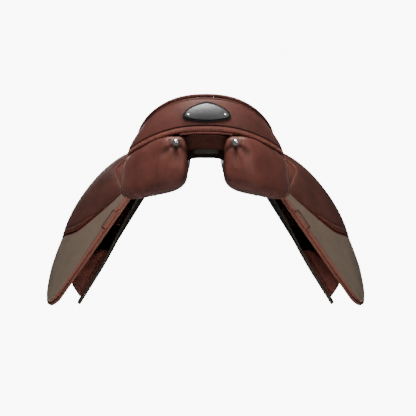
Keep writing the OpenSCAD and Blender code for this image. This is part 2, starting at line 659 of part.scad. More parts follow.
module calf_block(s) color(leather) side(s)
    cut_leather(sweat_f, calf_sides, 8, 8, calf_n, calf_n + 3, calf_block_h - 3, 3);

module girth_keeper(s) color(leather) side(s) on_sweat()
    translate([112, -40, sweat_t / 2 + lay]) rotate([90, 0, 0]) translate([0, 0, -12])
        linear_extrude(12) difference() {
            square([34, 7]);
            translate([2, 1.8]) square([30, 3.4]);
        }

// Webs and girth straps: the web runs out under the bar's flange, then down the sweat flap
web_n = sweat_t / 2 + 0.4;
web_end = 52;
bar_y = 62;
bar_s = 30;
plate_n = web_n + web_t + 0.6;
bar_n = plate_n + bar_plate_t + bar_gap;
plate_y = bar_y - 8;
arm_len = 12;
plate_len = bar_len + arm_len + 16;
plate_top = -4;
plate_end = bar_s + bar_height + 5;
rail_x = waist_half - tree_inset;
flange_top = min([for (i = [0 : 4]) tree_bottom(rail_x, plate_y + plate_len * i / 4)]) - lay;
flange_t = 3;
flange_in = 54;
web_top = flange_top - flange_t - 0.4;
first_strap = 46;
function slope_cut(n, z) = sw((sweat_top[1] + sweat_nrm[1] * n - z) / sin(sweat_slope), n);
module billet_webs(s) color(canvas) side(s)
    for (i = [0 : 2]) upright(first_strap + strap_pitch * i - strap_w / 2, strap_w)
        polygon([[flange_in + 2, web_top], slope_cut(web_n + web_t, web_top), sw(web_end, web_n + web_t),
                 sw(web_end, web_n), slope_cut(web_n, web_top - web_t), [flange_in + 2, web_top - web_t]]);

strap_top = web_end + 0.4;
guard_wall = 1.2;
guard_gap = 0.35;
strap_n = sweat_t / 2 + clear + guard_wall + guard_gap + 0.1;
strap_tip = 16;
hole_margin = 38;
module billets(s) color(dark_leather) side(s) on_sweat()
    for (i = [0 : 2]) translate([strap_top, first_strap + strap_pitch * i, strap_n]) difference() {
        linear_extrude(strap_t)
            polygon([[0, -strap_w / 2], [strap_len - strap_tip, -strap_w / 2],
                     [strap_len, -strap_w / 5], [strap_len, strap_w / 5],
                     [strap_len - strap_tip, strap_w / 2], [0, strap_w / 2]]);
        for (h = [0 : hole_count - 1])
            translate([strap_len - hole_margin - hole_pitch * h, 0, -1])
                cylinder(h = strap_t + 2, d = hole_dia, $fn = 32);
    }

// Buckle guard: a flat leather sleeve with a channel for each strap
guard_s = 72;
module buckle_guard(s) color(leather) side(s) on_sweat() {
    gap = guard_gap;
    low = strap_n - gap - guard_wall;
    width = 2 * strap_pitch + strap_w + 8;
    translate([guard_s, first_strap - strap_w / 2 - 4, low]) difference() {
        linear_extrude(strap_t + 2 * gap + 2 * guard_wall + 1.2) rounded(guard_len, width, 6);
        for (i = [0 : 2])
            translate([-1, 4 - gap + strap_pitch * i, guard_wall])
                cube([guard_len + 2, strap_w + 2 * gap, strap_t + 2 * gap]);
    }
}
module rounded(l, w, r) {
    translate([r, 0]) square([l - 2 * r, w]);
    translate([0, r]) square([l, w - 2 * r]);
    for (x = [r, l - r], y = [r, w - r]) translate([x, y]) circle(r = r, $fn = 32);
}

// Stirrup bar: base plate, flange under the tree rail, arm, bar and the catch's lug
bar_mid = bar_s + bar_height / 2;
catch_y = bar_y + 5;
catch_t = bar_t / 2 - 0.2;
lug_r = 5.5;
rivet_places = [for (y = [plate_y + 14, plate_y + plate_len - 14]) [flange_in + 7, y]];
module stirrup_bar(s) color(steel) side(s) {
    on_sweat() {
        translate([plate_top, plate_y, plate_n])
            linear_extrude(bar_plate_t) rounded(plate_end - plate_top, plate_len, 4);
        translate([bar_s, bar_y + bar_len, plate_n]) intersection() {
            cube([bar_height, arm_len, bar_plate_t + bar_gap + bar_t]);
            translate([-1, arm_len - 10, bar_plate_t + bar_gap + bar_t - 10]) union() {
                rotate([0, 90, 0]) cylinder(h = bar_height + 2, r = 10, $fn = 64);
                translate([0, -20, -30]) cube([bar_height + 2, 20, 40]);
                translate([0, -20, -40]) cube([bar_height + 2, 30, 40]);
            }
        }
        translate([bar_s, catch_y + lug_r + 0.6, bar_n])
            cube([bar_height, bar_len - 5 - lug_r - 0.6 + 0.5, bar_t]);
        translate([bar_mid, catch_y, bar_n]) {
            cylinder(h = bar_t / 2 - 0.1, r = lug_r, $fn = 48);
            translate([-lug_r, 0, 0]) cube([2 * lug_r, lug_r + 1.2, bar_t / 2 - 0.1]);
            cylinder(h = bar_t, d = catch_pin_dia, $fn = 32);
        }
    }
    difference() {
        translate([flange_in, plate_y + 4, flange_top - flange_t])
            cube([sw(plate_top + 5, plate_n + 1)[0] - flange_in, plate_len - 8, flange_t]);
        for (p = rivet_places) translate([p[0], p[1], flange_top - flange_t - 1])
            cylinder(h = flange_t + 2, d = bar_rivet_dia + 0.1, $fn = 32);
    }
}
module bar_catch(s) color(steel) side(s) on_sweat()
    translate([bar_mid, catch_y, bar_n + bar_t / 2 + 0.1]) difference() {
        union() {
            cylinder(h = catch_t, r = lug_r - 0.2, $fn = 48);
            translate([-4.4, -catch_len + 4.4, 0]) cube([8.8, catch_len - 4.4, catch_t]);
            translate([0, -catch_len + 4.4, 0]) cylinder(h = catch_t, r = 4.4, $fn = 48);
        }
        translate([0, 0, -1]) cylinder(h = catch_t + 2, d = catch_pin_dia + 0.3, $fn = 32);
    }
module bar_rivets() color(steel) for (s = [-1, 1]) side(s) for (p = rivet_places) {
    roof = tree_bottom(p[0], p[1]) - 2.5 * soft_lay;
    base = flange_top - flange_t;
    translate([p[0], p[1], base]) cylinder(h = roof - base, d = bar_rivet_dia, $fn = 32);
    translate([p[0], p[1], base - 0.3]) cylinder(h = 0.3, d = bar_rivet_dia + 3, $fn = 32);
}

// Nails at the pommel, and the breastplate dees on the head facing
module pommel_nails() color(chrome) for (s = [-1, 1]) side(s)
    translate([seat_w(196) - 12, facing_front_y + cover_t + lay, 112.5]) rotate([-90, 0, 0])
        dome(nail_dia * 0.8, 3.5);
staple_x = 44;
staple_z = 100;
staple_plate = 1.5;
loop_r = dee_wire / 2 + 0.3;
dee_y = facing_front_y + cover_t + lay + staple_plate + loop_r + 0.8;
module dee_staples() color(chrome) for (s = [-1, 1]) side(s) {
    front = facing_front_y + cover_t + lay;
    translate([staple_x - 8, front, staple_z - 8]) cube([16, staple_plate, 16]);
    difference() {
        union() {
            translate([staple_x - 5, dee_y, staple_z]) rotate([0, 90, 0])
                cylinder(h = 10, r = loop_r + 1.5, $fn = 48);
            translate([staple_x - 5, front + 0.5, staple_z - 3]) cube([10, dee_y - front - 0.5, 6]);
        }
        translate([staple_x - 6, dee_y, staple_z]) rotate([0, 90, 0])
            cylinder(h = 12, r = loop_r, $fn = 48);
    }
}
module dee_ring(s) color(chrome) side(s) translate([staple_x, dee_y, staple_z]) {
    r = dee_wire / 2;
    bow = dee_w / 2 + r;
    translate([-bow, 0, 0]) rotate([0, 90, 0]) cylinder(h = 2 * bow, r = r, $fn = 32);
    rotate([90, 0, 0]) rotate([0, 0, 180]) rotate_extrude(angle = 180, $fn = 64)
        translate([bow, 0]) circle(r = r, $fn = 32);
    for (x = [-bow, bow]) translate([x, 0, 0]) sphere(r = r, $fn = 32);
}

// Pockets on the panels that take the tree points
module point_pockets() color(dark_leather) for (s = [-1, 1]) side(s) on_sweat() {
    y = head_y - 4;
    translate([point_len - 16, y, -point_in - 1]) difference() {
        cube([20, head_len + 12, point_in - point_out + 2]);
        translate([-1, 4 - clear, 1 - clear])
            cube([17.4, head_len + gullet_plate_t + lay + 2 * clear, point_in - point_out + 2 * clear]);
    }
}

seat_cover();
seat_piping();
seat_foam();
seat_canvas();
tree_frame();
tree_head();
gullet_plate();
spring_steels();
cantle_facing();
cantle_welt();
badge_surround();
badge_plate();
badge_rivets();
gullet_lining();
head_facing();
panel(-1);  // panel_left
panel(1);  // panel_right
panel_nails();
pommel_nails();
flap(-1);  // flap_left
flap(1);  // flap_right
flap_grip(-1);  // flap_grip_left
flap_grip(1);  // flap_grip_right
knee_pad(-1);  // knee_pad_left
knee_pad(1);  // knee_pad_right
leather_keeper(-1);  // leather_keeper_left
leather_keeper(1);  // leather_keeper_right
skirt(-1);  // skirt_left
skirt(1);  // skirt_right
sweat_flap(-1);  // sweat_flap_left
sweat_flap(1);  // sweat_flap_right
block_fabric(-1);  // block_fabric_left
block_fabric(1);  // block_fabric_right
knee_block(-1);  // knee_block_left
knee_block(1);  // knee_block_right
calf_block(-1);  // calf_block_left
calf_block(1);  // calf_block_right
stirrup_bar(-1);  // stirrup_bar_left
stirrup_bar(1);  // stirrup_bar_right
bar_catch(-1);  // bar_catch_left
bar_catch(1);  // bar_catch_right
bar_rivets();
billet_webs(-1);  // billet_webs_left
billet_webs(1);  // billet_webs_right
billets(-1);  // billets_left
billets(1);  // billets_right
buckle_guard(-1);  // buckle_guard_left
buckle_guard(1);  // buckle_guard_right
dee_staples();
dee_ring(-1);  // dee_ring_left
dee_ring(1);  // dee_ring_right
girth_keeper(-1);  // girth_keeper_left
girth_keeper(1);  // girth_keeper_right
point_pockets();
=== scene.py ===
"""A jumping saddle, seen from behind: its leather, pads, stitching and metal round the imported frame."""

from __future__ import annotations

import json
import logging
import math
from collections.abc import Callable, Sequence
from dataclasses import dataclass
from enum import Enum

import bpy
import numpy as np
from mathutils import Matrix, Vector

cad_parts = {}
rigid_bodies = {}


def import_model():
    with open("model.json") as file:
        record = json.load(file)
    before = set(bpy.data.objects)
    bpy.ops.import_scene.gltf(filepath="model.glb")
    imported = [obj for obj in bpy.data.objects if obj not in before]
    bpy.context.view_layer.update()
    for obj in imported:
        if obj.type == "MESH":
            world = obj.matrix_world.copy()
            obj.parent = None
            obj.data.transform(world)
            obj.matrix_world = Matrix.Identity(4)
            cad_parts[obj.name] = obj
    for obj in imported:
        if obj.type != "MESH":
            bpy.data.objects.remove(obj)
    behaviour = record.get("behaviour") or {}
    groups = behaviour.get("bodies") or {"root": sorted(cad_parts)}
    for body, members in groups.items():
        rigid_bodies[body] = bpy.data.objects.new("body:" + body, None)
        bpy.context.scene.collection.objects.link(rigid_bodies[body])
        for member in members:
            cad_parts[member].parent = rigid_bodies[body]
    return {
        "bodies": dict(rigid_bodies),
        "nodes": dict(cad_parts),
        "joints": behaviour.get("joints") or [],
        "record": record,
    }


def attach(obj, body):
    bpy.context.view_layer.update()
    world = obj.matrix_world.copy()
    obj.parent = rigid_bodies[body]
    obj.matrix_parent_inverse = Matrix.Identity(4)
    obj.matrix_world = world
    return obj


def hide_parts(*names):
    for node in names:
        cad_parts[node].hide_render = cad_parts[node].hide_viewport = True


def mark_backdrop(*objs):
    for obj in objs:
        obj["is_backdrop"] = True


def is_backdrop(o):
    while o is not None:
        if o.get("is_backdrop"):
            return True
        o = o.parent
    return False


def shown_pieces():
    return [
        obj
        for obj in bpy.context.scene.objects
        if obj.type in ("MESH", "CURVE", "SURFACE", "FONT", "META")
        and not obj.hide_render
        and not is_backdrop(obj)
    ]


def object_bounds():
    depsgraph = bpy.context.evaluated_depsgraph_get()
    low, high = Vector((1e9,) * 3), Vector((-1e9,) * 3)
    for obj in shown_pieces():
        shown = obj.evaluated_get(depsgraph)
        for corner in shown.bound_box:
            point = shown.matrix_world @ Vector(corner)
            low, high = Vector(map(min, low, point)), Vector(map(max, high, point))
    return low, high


LOG = logging.getLogger("saddle")
MM = 0.001
Array = np.ndarray
Obj = bpy.types.Object
Colour = tuple[float, float, float]
WHITE = (1.0, 1.0, 1.0, 1.0)
SHARP = math.radians(60)
FLAT_SHADE = 38.0
TOP, LOW, REAR, FRONT = range(4)


def ease(t: Array | float) -> Array:
    """Smooth step from 0 to 1."""
    c = np.clip(t, 0.0, 1.0)
    return c * c * (3.0 - 2.0 * c)


def spow(v: Array, e: float) -> Array:
    """Signed power."""
    return np.sign(v) * np.abs(v) ** e


def lerp(a: Array | float, b: Array | float, t: Array | float) -> Array:
    """Straight blend from a to b."""
    return a + (b - a) * t


def unit(v: Array) -> Array:
    """Vectors scaled to length 1."""
    return v / np.maximum(np.linalg.norm(v, axis=-1, keepdims=True), 1e-9)


def stack(*parts: Array | float) -> Array:
    """Columns of x, y and z as points."""
    return np.stack(np.broadcast_arrays(*parts), -1).astype(float)


def crowd(t: Array, share: float = 0.5) -> Array:
    """Moves evenly spaced numbers from 0 to 1 closer to both ends."""
    return lerp(t, (1 - np.cos(math.pi * t)) / 2, share)


def groove(d: Array, at: float, width: float) -> Array:
    """1 in the middle of a line at distance at, falling to 0 at half its width."""
    return np.clip(1 - ((d - at) / (width / 2)) ** 2, 0, 1)


def curve(keys: Sequence[tuple], t: Array | float) -> Array:
    """Smooth curve through keys.

    Args:
        keys: Pairs of a place and a value, which may be a list.
        t: Places to read it at.

    Returns:
        The values, with the shape of t and then that of a value.
    """
    kt = np.array([k[0] for k in keys], float)
    kv = np.array([k[1] for k in keys], float)
    t = np.asarray(t, float)
    i = np.clip(np.searchsorted(kt, t, side="left") - 1, 0, len(kt) - 2)
    pad = (1,) * (kv.ndim - 1)
    span = kt[1:] - kt[:-1]
    chord = (kv[1:] - kv[:-1]) / span.reshape(-1, *pad)
    slope = np.concatenate([chord[:1], (kv[2:] - kv[:-2]) / (kt[2:] - kt[:-2]).reshape(-1, *pad), chord[-1:]])
    h = span[i].reshape(t.shape + pad)
    u = np.clip((t - kt[i]) / span[i], 0, 1).reshape(t.shape + pad)
    return (kv[i] * (2 * u**3 - 3 * u**2 + 1) + slope[i] * h * (u**3 - 2 * u**2 + u)
            + kv[i + 1] * (3 * u**2 - 2 * u**3) + slope[i + 1] * h * (u**3 - u**2))


class Bench:
    """Primitives, edit steps and modifiers, each on one object at a time."""

    @staticmethod
    def only(obj: Obj) -> None:
        """Selects this object alone."""
        bpy.ops.object.select_all(action="DESELECT")
        obj.select_set(True)
        bpy.context.view_layer.objects.active = obj

    @staticmethod
    def link(name: str, data: bpy.types.ID) -> Obj:
        """Puts data in the scene as an object."""
        obj = bpy.data.objects.new(name, data)
        bpy.context.scene.collection.objects.link(obj)
        return obj

    @staticmethod
    def primitive(name: str, operator: Callable, **settings: object) -> Obj:
        """A named primitive."""
        bpy.ops.object.select_all(action="DESELECT")
        operator(**settings)
        obj = bpy.context.active_object
        obj.name = obj.data.name = name
        return obj

    @staticmethod
    def edit(obj: Obj, *steps: tuple[Callable, dict]) -> None:
        """Runs edit-mode operators, each with its settings, on the whole mesh."""
        Bench.only(obj)
        bpy.ops.object.mode_set(mode="EDIT")
        bpy.ops.mesh.select_all(action="SELECT")
        for operator, settings in steps:
            operator(**settings)
        bpy.ops.object.mode_set(mode="OBJECT")

    @staticmethod
    def modify(obj: Obj, kind: str, **settings: object) -> None:
        """Adds a modifier of this type and applies it."""
        Bench.only(obj)
        modifier = obj.modifiers.new(kind.lower(), kind)
        for key, value in settings.items():
            setattr(modifier, key, value)
        bpy.ops.object.modifier_apply(modifier=modifier.name)

    @staticmethod
    def places(obj: Obj) -> Array:
        """The vertices' places, in metres."""
        co = np.empty(len(obj.data.vertices) * 3, np.float32)
        obj.data.vertices.foreach_get("co", co)
        return co.reshape(-1, 3).astype(float)

    @staticmethod
    def grid(obj: Obj) -> tuple[Array, Array]:
        """The vertices' u and v on the grid that the piece was made from."""
        uv = np.empty(len(obj.data.vertices) * 3, np.float32)
        obj.data.attributes["uv2"].data.foreach_get("vector", uv)
        return tuple(uv.reshape(-1, 3).astype(float).T[:2])

    @staticmethod
    def put(obj: Obj, points: Array) -> None:
        """Moves the vertices to places in metres."""
        obj.data.vertices.foreach_set("co", points.astype(np.float32).ravel())
        obj.data.update()

    @staticmethod
    def mark(obj: Obj, name: str, values: Array) -> None:
        """Keeps a number from 0 to 1 per vertex for the finish: one mark lightens towards the rim colour, for cut edges
        and borders and for painted highlight; the other darkens, for dark seams and for painted shade in grooves, folds
        and tucked edges.
        """
        layer = obj.data.attributes.get(name) or obj.data.attributes.new(name, "FLOAT", "POINT")
        layer.data.foreach_set("value", np.clip(values, 0, 1).astype(np.float32))

    @staticmethod
    def drape(name: str, cols: int, rows: int, place: Callable[[Array, Array], Array]) -> Obj:
        """A grid of cols by rows cells laid on a surface, with its u and v kept.

        Args:
            name: The piece's name.
            cols: Cells along u.
            rows: Cells along v.
            place: Gives points in millimetres for arrays u and v from 0 to 1.

        Returns:
            The grid.
        """
        obj = Bench.primitive(name, bpy.ops.mesh.primitive_grid_add, x_subdivisions=cols, y_subdivisions=rows,
                              size=1.0)
        uv = Bench.places(obj)[:, :2] + 0.5
        layer = obj.data.attributes.new("uv2", "FLOAT_VECTOR", "POINT")
        layer.data.foreach_set("vector", np.c_[uv, np.zeros(len(uv))].astype(np.float32).ravel())
        Bench.put(obj, place(uv[:, 0], uv[:, 1]) * MM)
        return obj

    @staticmethod
    def weld(obj: Obj, gap: float = 0.02) -> None:
        """Merges doubles closer than gap millimetres and turns the faces outwards."""
        Bench.edit(obj, (bpy.ops.mesh.remove_doubles, {"threshold": gap * MM}),
                   (bpy.ops.mesh.normals_make_consistent, {"inside": False}))

    @staticmethod
    def shell(name: str, cols: int, rows: int, outer: Callable, inner: Callable, round_edge: float) -> Obj:
        """A closed sheet between two surfaces.

        Args:
            name: The piece's name.
            cols: Cells along u.
            rows: Cells along v.
            outer: Gives the outer points, in millimetres, for u and v.
            inner: Gives the inner ones.
            round_edge: Width of its rounded border, in millimetres.

        Returns:
            The sheet.
        """
        obj = Bench.drape(name, cols, rows, outer)
        uv, top = Bench.grid(obj), Bench.places(obj)
        Bench.modify(obj, "SOLIDIFY", thickness=MM, offset=-1.0)
        Bench.put(obj, np.concatenate([top, inner(*uv) * MM]))
        Bench.edit(obj, (bpy.ops.mesh.normals_make_consistent, {"inside": False}))
        Bench.modify(obj, "BEVEL", width=round_edge * MM, segments=2, limit_method="ANGLE", angle_limit=SHARP)
        return obj

    @staticmethod
    def mirrored(obj: Obj, name: str) -> Obj:
        """The same piece for the left side, with its own mesh."""
        twin = Bench.link(name, obj.data.copy())
        twin.data.name = name
        Bench.put(twin, Bench.places(twin) * np.array([-1.0, 1.0, 1.0]))
        Bench.edit(twin, (bpy.ops.mesh.flip_normals, {}))
        return twin

    @staticmethod
    def tube(name: str, path: Array, half_out: float, half_up: Array | float, out: Array, sides: int = 12,
             loop: bool = False) -> Obj:
        """A round or flattened roll along a path.

        Args:
            name: The piece's name.
            path: Points in millimetres.
            half_out: Half its thickness along out.
            half_up: Half its height.
            out: Direction out from what it lies on, at each point.
            sides: Sides of its section.
            loop: True where the path closes.

        Returns:
            The roll, closed at its ends.
        """
        n = len(path)
        along = unit(np.roll(path, -1, 0) - np.roll(path, 1, 0)) if loop else unit(np.gradient(path, axis=0))
        up = unit(np.cross(out, along))
        out = np.cross(along, up)
        tall = np.broadcast_to(half_up, n)

        def place(u: Array, v: Array) -> Array:
            i = np.rint(v * (n if loop else n + 1)).astype(int)
            full = np.ones(len(i)) if loop else np.where((i == 0) | (i == n + 1), 0.0, 1.0)
            i = i % n if loop else np.clip(i - 1, 0, n - 1)
            a = 2 * math.pi * u
            return (path[i] + out[i] * (full * half_out * np.cos(a))[:, None]
                    + up[i] * (full * tall[i] * np.sin(a))[:, None])

        obj = Bench.drape(name, sides, n if loop else n + 1, place)
        Bench.weld(obj)
        return obj

    @staticmethod
    def stitches(name: str, path: Array, normal: Array, pitch: float = 3.4, length: float = 2.5, width: float = 0.42,
                 across: bool = False, proud: float = 0.1) -> Obj:
        """A row of thread stitches along a path, as one piece.

        Args:
            name: The piece's name.
            path: Points in millimetres.
            normal: The leather's outward direction at each point.
            pitch: Distance between stitches.
            length: Length of one.
            width: Half its width.
            across: True where stitches lie across the row.
            proud: Height of their middle above the path.

        Returns:
            The row.
        """
        run = np.r_[0, np.cumsum(np.linalg.norm(np.diff(path, axis=0), axis=1))]
        at = np.arange(pitch / 2, run[-1], pitch)

        def along(line: Array) -> Array:
            return np.stack([np.interp(at, run, line[:, k]) for k in range(3)], 1)

        n = unit(along(normal))
        t = unit(along(np.gradient(path, axis=0)))
        s = unit(np.cross(n, t))
        t = np.cross(s, n)
        seed = Bench.primitive(f"{name}_seed", bpy.ops.mesh.primitive_uv_sphere_add, segments=6, ring_count=4,
                               radius=1.0)
        Bench.put(seed, Bench.places(seed)[:, [2, 0, 1]] * np.array([length / 2, width, width * 0.8]) * MM)
        frames = np.stack([s, t, n], 1) if across else np.stack([t, s, n], 1)
        base, faces = Bench.places(seed), [list(p.vertices) for p in seed.data.polygons]
        bpy.data.objects.remove(seed)
        points = ((along(path) + n * proud)[:, None, :] * MM + base @ frames).reshape(-1, 3)
        mesh = bpy.data.meshes.new(name)
        mesh.from_pydata(points.tolist(), [], [[len(base) * k + i for i in f] for k in range(len(at)) for f in faces])
        return Bench.link(name, mesh)


class Grain(Enum):
    """How a surface is worked."""

    SMOOTH = "smooth"
    PEBBLE = "pebble"
    WEAVE = "weave"
    BRUSHED = "brushed"
    WOOD = "wood"
    PLAIN = "plain"


def srgb(r: int, g: int, b: int) -> Colour:
    """A display colour as a linear one."""
    return tuple(c / 12.92 if c <= 0.04045 else ((c + 0.055) / 1.055) ** 2.4 for c in (r / 255, g / 255, b / 255))


@dataclass(frozen=True)
class Finish:
    """One material, built from nodes.

    Args:
        name: The material's name.
        base: Linear colour.
        deep: Linear colour of its darker patches.
        grain: How the surface is worked.
        scale: Size of the grain in millimetres.
        bump: Depth of the grain in millimetres.
        rough: Roughness, and its spread.
        metal: Metallic share.
        rim: Colour that its lighter mark blends towards: cut edges and borders, and on the panels a painted highlight.
        shine: Strength of its reflection, where 0.5 is glass.
        gleam: Tint of that reflection.
        glow: Light that it gives by itself.
    """

    name: str
    base: Colour
    deep: Colour
    grain: Grain = Grain.SMOOTH
    scale: float = 1.1
    bump: float = 0.12
    rough: tuple[float, float] = (0.42, 0.1)
    metal: float = 0.0
    rim: Colour | None = None
    shine: float = 0.3
    gleam: Colour = (1.0, 0.72, 0.62)
    glow: float = 0.0

    @classmethod
    def hide(cls, name: str, tone: tuple[int, int, int], **more: object) -> Finish:
        """A waxed leather of a display colour, with darker patches."""
        settings = {"rough": (0.58, 0.08), "shine": 0.16, **more}
        return cls(name, srgb(*tone), srgb(*(round(c * 0.8) for c in tone)), **settings)

    @classmethod
    def metal_of(cls, name: str, shade: float, rough: float, grain: Grain = Grain.BRUSHED) -> Finish:
        """A bare metal of a grey shade."""
        return cls(name, (shade, shade, 1.02 * shade), (0.8 * shade,) * 3, grain, 1.4, 0.03, (rough, 0.06), metal=1.0)

    def material(self) -> bpy.types.Material:
        """The Blender material, made once."""
        label = f"{self.name}_finish"
        if label in bpy.data.materials:
            return bpy.data.materials[label]
        made = bpy.data.materials.new(label)
        made.use_nodes = True
        nodes, links = made.node_tree.nodes, made.node_tree.links
        shader = nodes["Principled BSDF"]
        for key, value in {
            "Metallic": self.metal, "Specular IOR Level": 0.5 if self.metal else self.shine,
            "Specular Tint": WHITE if self.metal else (*self.gleam, 1.0),
            "Emission Color": WHITE, "Emission Strength": self.glow,
        }.items():
            shader.inputs[key].default_value = value
        place = nodes.new("ShaderNodeTexCoord").outputs["Object"]

        def texture(kind: str, size: float, **extra: object) -> bpy.types.Node:
            node = nodes.new(kind)
            node.inputs["Scale"].default_value = 1000.0 / size
            links.new(place, node.inputs["Vector"])
            for key, value in extra.items():
                if key in node.inputs:
                    node.inputs[key].default_value = value
                else:
                    setattr(node, key, value)
            return node

        def spread(source: bpy.types.NodeSocket, **limits: float) -> bpy.types.NodeSocket:
            node = nodes.new("ShaderNodeMapRange")
            for key, value in limits.items():
                node.inputs[key.replace("_", " ")].default_value = value
            links.new(source, node.inputs["Value"])
            return node.outputs["Result"]

        def blend(under: object, over: Colour, share: bpy.types.NodeSocket, kind: str = "MIX") -> bpy.types.NodeSocket:
            node = nodes.new("ShaderNodeMix")
            node.data_type, node.blend_type = "RGBA", kind
            node.inputs["B"].default_value = (*over, 1.0)
            if isinstance(under, tuple):
                node.inputs["A"].default_value = (*under, 1.0)
            else:
                links.new(under, node.inputs["A"])
            links.new(share, node.inputs["Factor"])
            return node.outputs["Result"]

        patch = texture("ShaderNodeTexNoise", 46.0, Detail=4.0, Roughness=0.6).outputs["Fac"]
        colour = blend(self.deep, self.base, spread(patch, From_Min=0.32, From_Max=0.62))
        fine = texture("ShaderNodeTexNoise", self.scale * 3.0, Detail=3.0).outputs["Fac"]
        raised = self.grain in (Grain.PEBBLE, Grain.SMOOTH, Grain.WEAVE)
        if self.grain is Grain.WEAVE:
            cells = texture("ShaderNodeTexVoronoi", self.scale, distance="CHEBYCHEV", Randomness=0.25)
            height = cells.outputs["Distance"]
        elif raised:
            cells = texture("ShaderNodeTexVoronoi", self.scale, feature="SMOOTH_F1", Smoothness=0.35)
            height = cells.outputs["Distance"]
        elif self.grain is Grain.PLAIN:
            height = fine
        else:
            squeeze = nodes.new("ShaderNodeMapping")
            brushed = self.grain is Grain.BRUSHED
            squeeze.inputs["Scale"].default_value = (0.06, 1.0, 1.0) if brushed else (1.0, 0.08, 1.0)
            links.new(place, squeeze.inputs["Vector"])
            cells = texture("ShaderNodeTexNoise", self.scale, Detail=5.0)
            links.new(squeeze.outputs["Vector"], cells.inputs["Vector"])
            height = cells.outputs["Fac"]
        if self.grain is not Grain.PLAIN:
            half = nodes.new("ShaderNodeMath")
            half.operation = "MULTIPLY"
            half.inputs[1].default_value = 0.5
            links.new(height, half.inputs[0])
            colour = blend(colour, (0.72, 0.68, 0.66), half.outputs[0], "MULTIPLY")
        # Lighter mark blends to the rim colour; darker mark blends to 0.22 of the deep colour, for dark seams and
        # painted shade in grooves, folds and tucked edges.
        for key, shade in (("rim_tone_and_painted_highlight", self.rim), ("seam_dark_and_painted_shade", tuple(0.22 * c for c in self.deep))):
            if shade:
                read = nodes.new("ShaderNodeAttribute")
                read.attribute_name = key
                colour = blend(colour, shade, read.outputs["Fac"])
        links.new(colour, shader.inputs["Base Color"])
        middle, part = self.rough
        links.new(spread(fine, To_Min=middle - part, To_Max=middle + part), shader.inputs["Roughness"])
        bump = nodes.new("ShaderNodeBump")
        bump.inputs["Strength"].default_value = 0.6
        bump.inputs["Distance"].default_value = self.bump * MM
        bump.invert = raised
        links.new(height, bump.inputs["Height"])
        links.new(bump.outputs["Normal"], shader.inputs["Normal"])
        return made


class Slot(Enum):
    """The record's material slots."""

    SEAT = "seat_leather"
    PIPING = "piping_leather"
    CANTLE = "cantle_leather"
    PANEL = "panel_leather"
    FLAP = "flap_leather"
    KNEE = "knee_pad_leather"
    GRAINED = "grained_cover"
    KEEPER = "keeper_leather"
    SWEAT = "sweat_leather"
    CALF = "calf_leather"
    FABRIC = "block_fabric"
    STRAP = "strap_leather"
    GUARD = "guard_leather"
    CANVAS = "canvas"
    WOOD = "tree_wood"
    SPRING = "spring_steel"
    BAR = "bar_steel"
    BADGE_BLACK = "badge_black"
    BADGE_METAL = "badge_metal"
    BRIGHT = "bright_metal"

    @property
    def finish(self) -> Finish:
        """The slot's own finish."""
        return FINISHES[self]


def leather(slot: Slot, r: int, g: int, b: int, **more: object) -> tuple[Slot, Finish]:
    """A slot and its waxed leather."""
    return slot, Finish.hide(slot.value, (r, g, b), **more)


def metal(slot: Slot, shade: float, rough: float, grain: Grain = Grain.BRUSHED) -> tuple[Slot, Finish]:
    """A slot and its bare metal."""
    return slot, Finish.metal_of(slot.value, shade, rough, grain)


FINISHES = dict((
    leather(Slot.SEAT, 76, 42, 35),
    leather(Slot.PIPING, 84, 46, 39),
    leather(Slot.CANTLE, 84, 48, 42, rough=(0.5, 0.08), shine=0.3),
    # Its rim colour is a painted highlight, laid along the seam down each rear panel's outer side.
    leather(Slot.PANEL, 91, 50, 43, rough=(0.44, 0.07), shine=0.4, rim=srgb(124, 80, 69)),
    leather(Slot.FLAP, 80, 45, 38, rim=srgb(98, 60, 50)),
    leather(Slot.KNEE, 61, 34, 29, rim=srgb(84, 52, 43)),
    leather(Slot.KEEPER, 82, 42, 34),
    # Near-black: painted shade for the deep gap between the flap and the inner flap; the knee bolsters and point
    # pockets share it.
    leather(Slot.SWEAT, 26, 24, 22, rim=srgb(60, 56, 48), shine=0.02),
    leather(Slot.CALF, 104, 57, 50),
    leather(Slot.STRAP, 58, 31, 26),
    leather(Slot.GUARD, 64, 35, 29),
    metal(Slot.SPRING, 0.31, 0.34),
    metal(Slot.BAR, 0.53, 0.28),
    metal(Slot.BADGE_METAL, 0.16, 0.36),
    metal(Slot.BRIGHT, 0.78, 0.12, Grain.PLAIN),
    (Slot.GRAINED, Finish("grained_cover", srgb(89, 78, 67), srgb(83, 72, 62), Grain.PEBBLE, 1.3, 0.2, (0.58, 0.08),
                          rim=srgb(98, 60, 50), shine=0.16)),
    (Slot.FABRIC, Finish("block_fabric", srgb(14, 13, 14), srgb(8, 8, 8), Grain.WEAVE, 1.2, 0.3, (0.9, 0.05),
                         shine=0.02)),
    (Slot.CANVAS, Finish("canvas", srgb(205, 194, 166), srgb(184, 172, 144), Grain.WEAVE, 1.0, 0.25, (0.85, 0.05))),
    (Slot.WOOD, Finish("tree_wood", srgb(190, 150, 104), srgb(150, 110, 70), Grain.WOOD, 5.0, 0.1, (0.5, 0.08))),
    (Slot.BADGE_BLACK, Finish("badge_black", srgb(24, 24, 26), srgb(16, 16, 18), Grain.PLAIN, 1.0, 0.05, (0.5, 0.08),
                              shine=0.12)),
))
WELT = Finish.hide("welt_leather", (98, 53, 46))
SEAM = Finish.hide("seam_leather", (92, 40, 32))
LINING = Finish.hide("lining_leather", (82, 46, 39), rim=srgb(52, 56, 46), rough=(0.8, 0.05), shine=0.02)
THREAD, PALE_THREAD = (Finish(name, srgb(*tone), srgb(*deep), Grain.WEAVE, 0.6, 0.1, (0.7, 0.05), shine=0.1)
                       for name, tone, deep in (("thread", (146, 98, 82), (120, 80, 66)),
                                                ("pale_thread", (176, 150, 132), (150, 126, 110))))


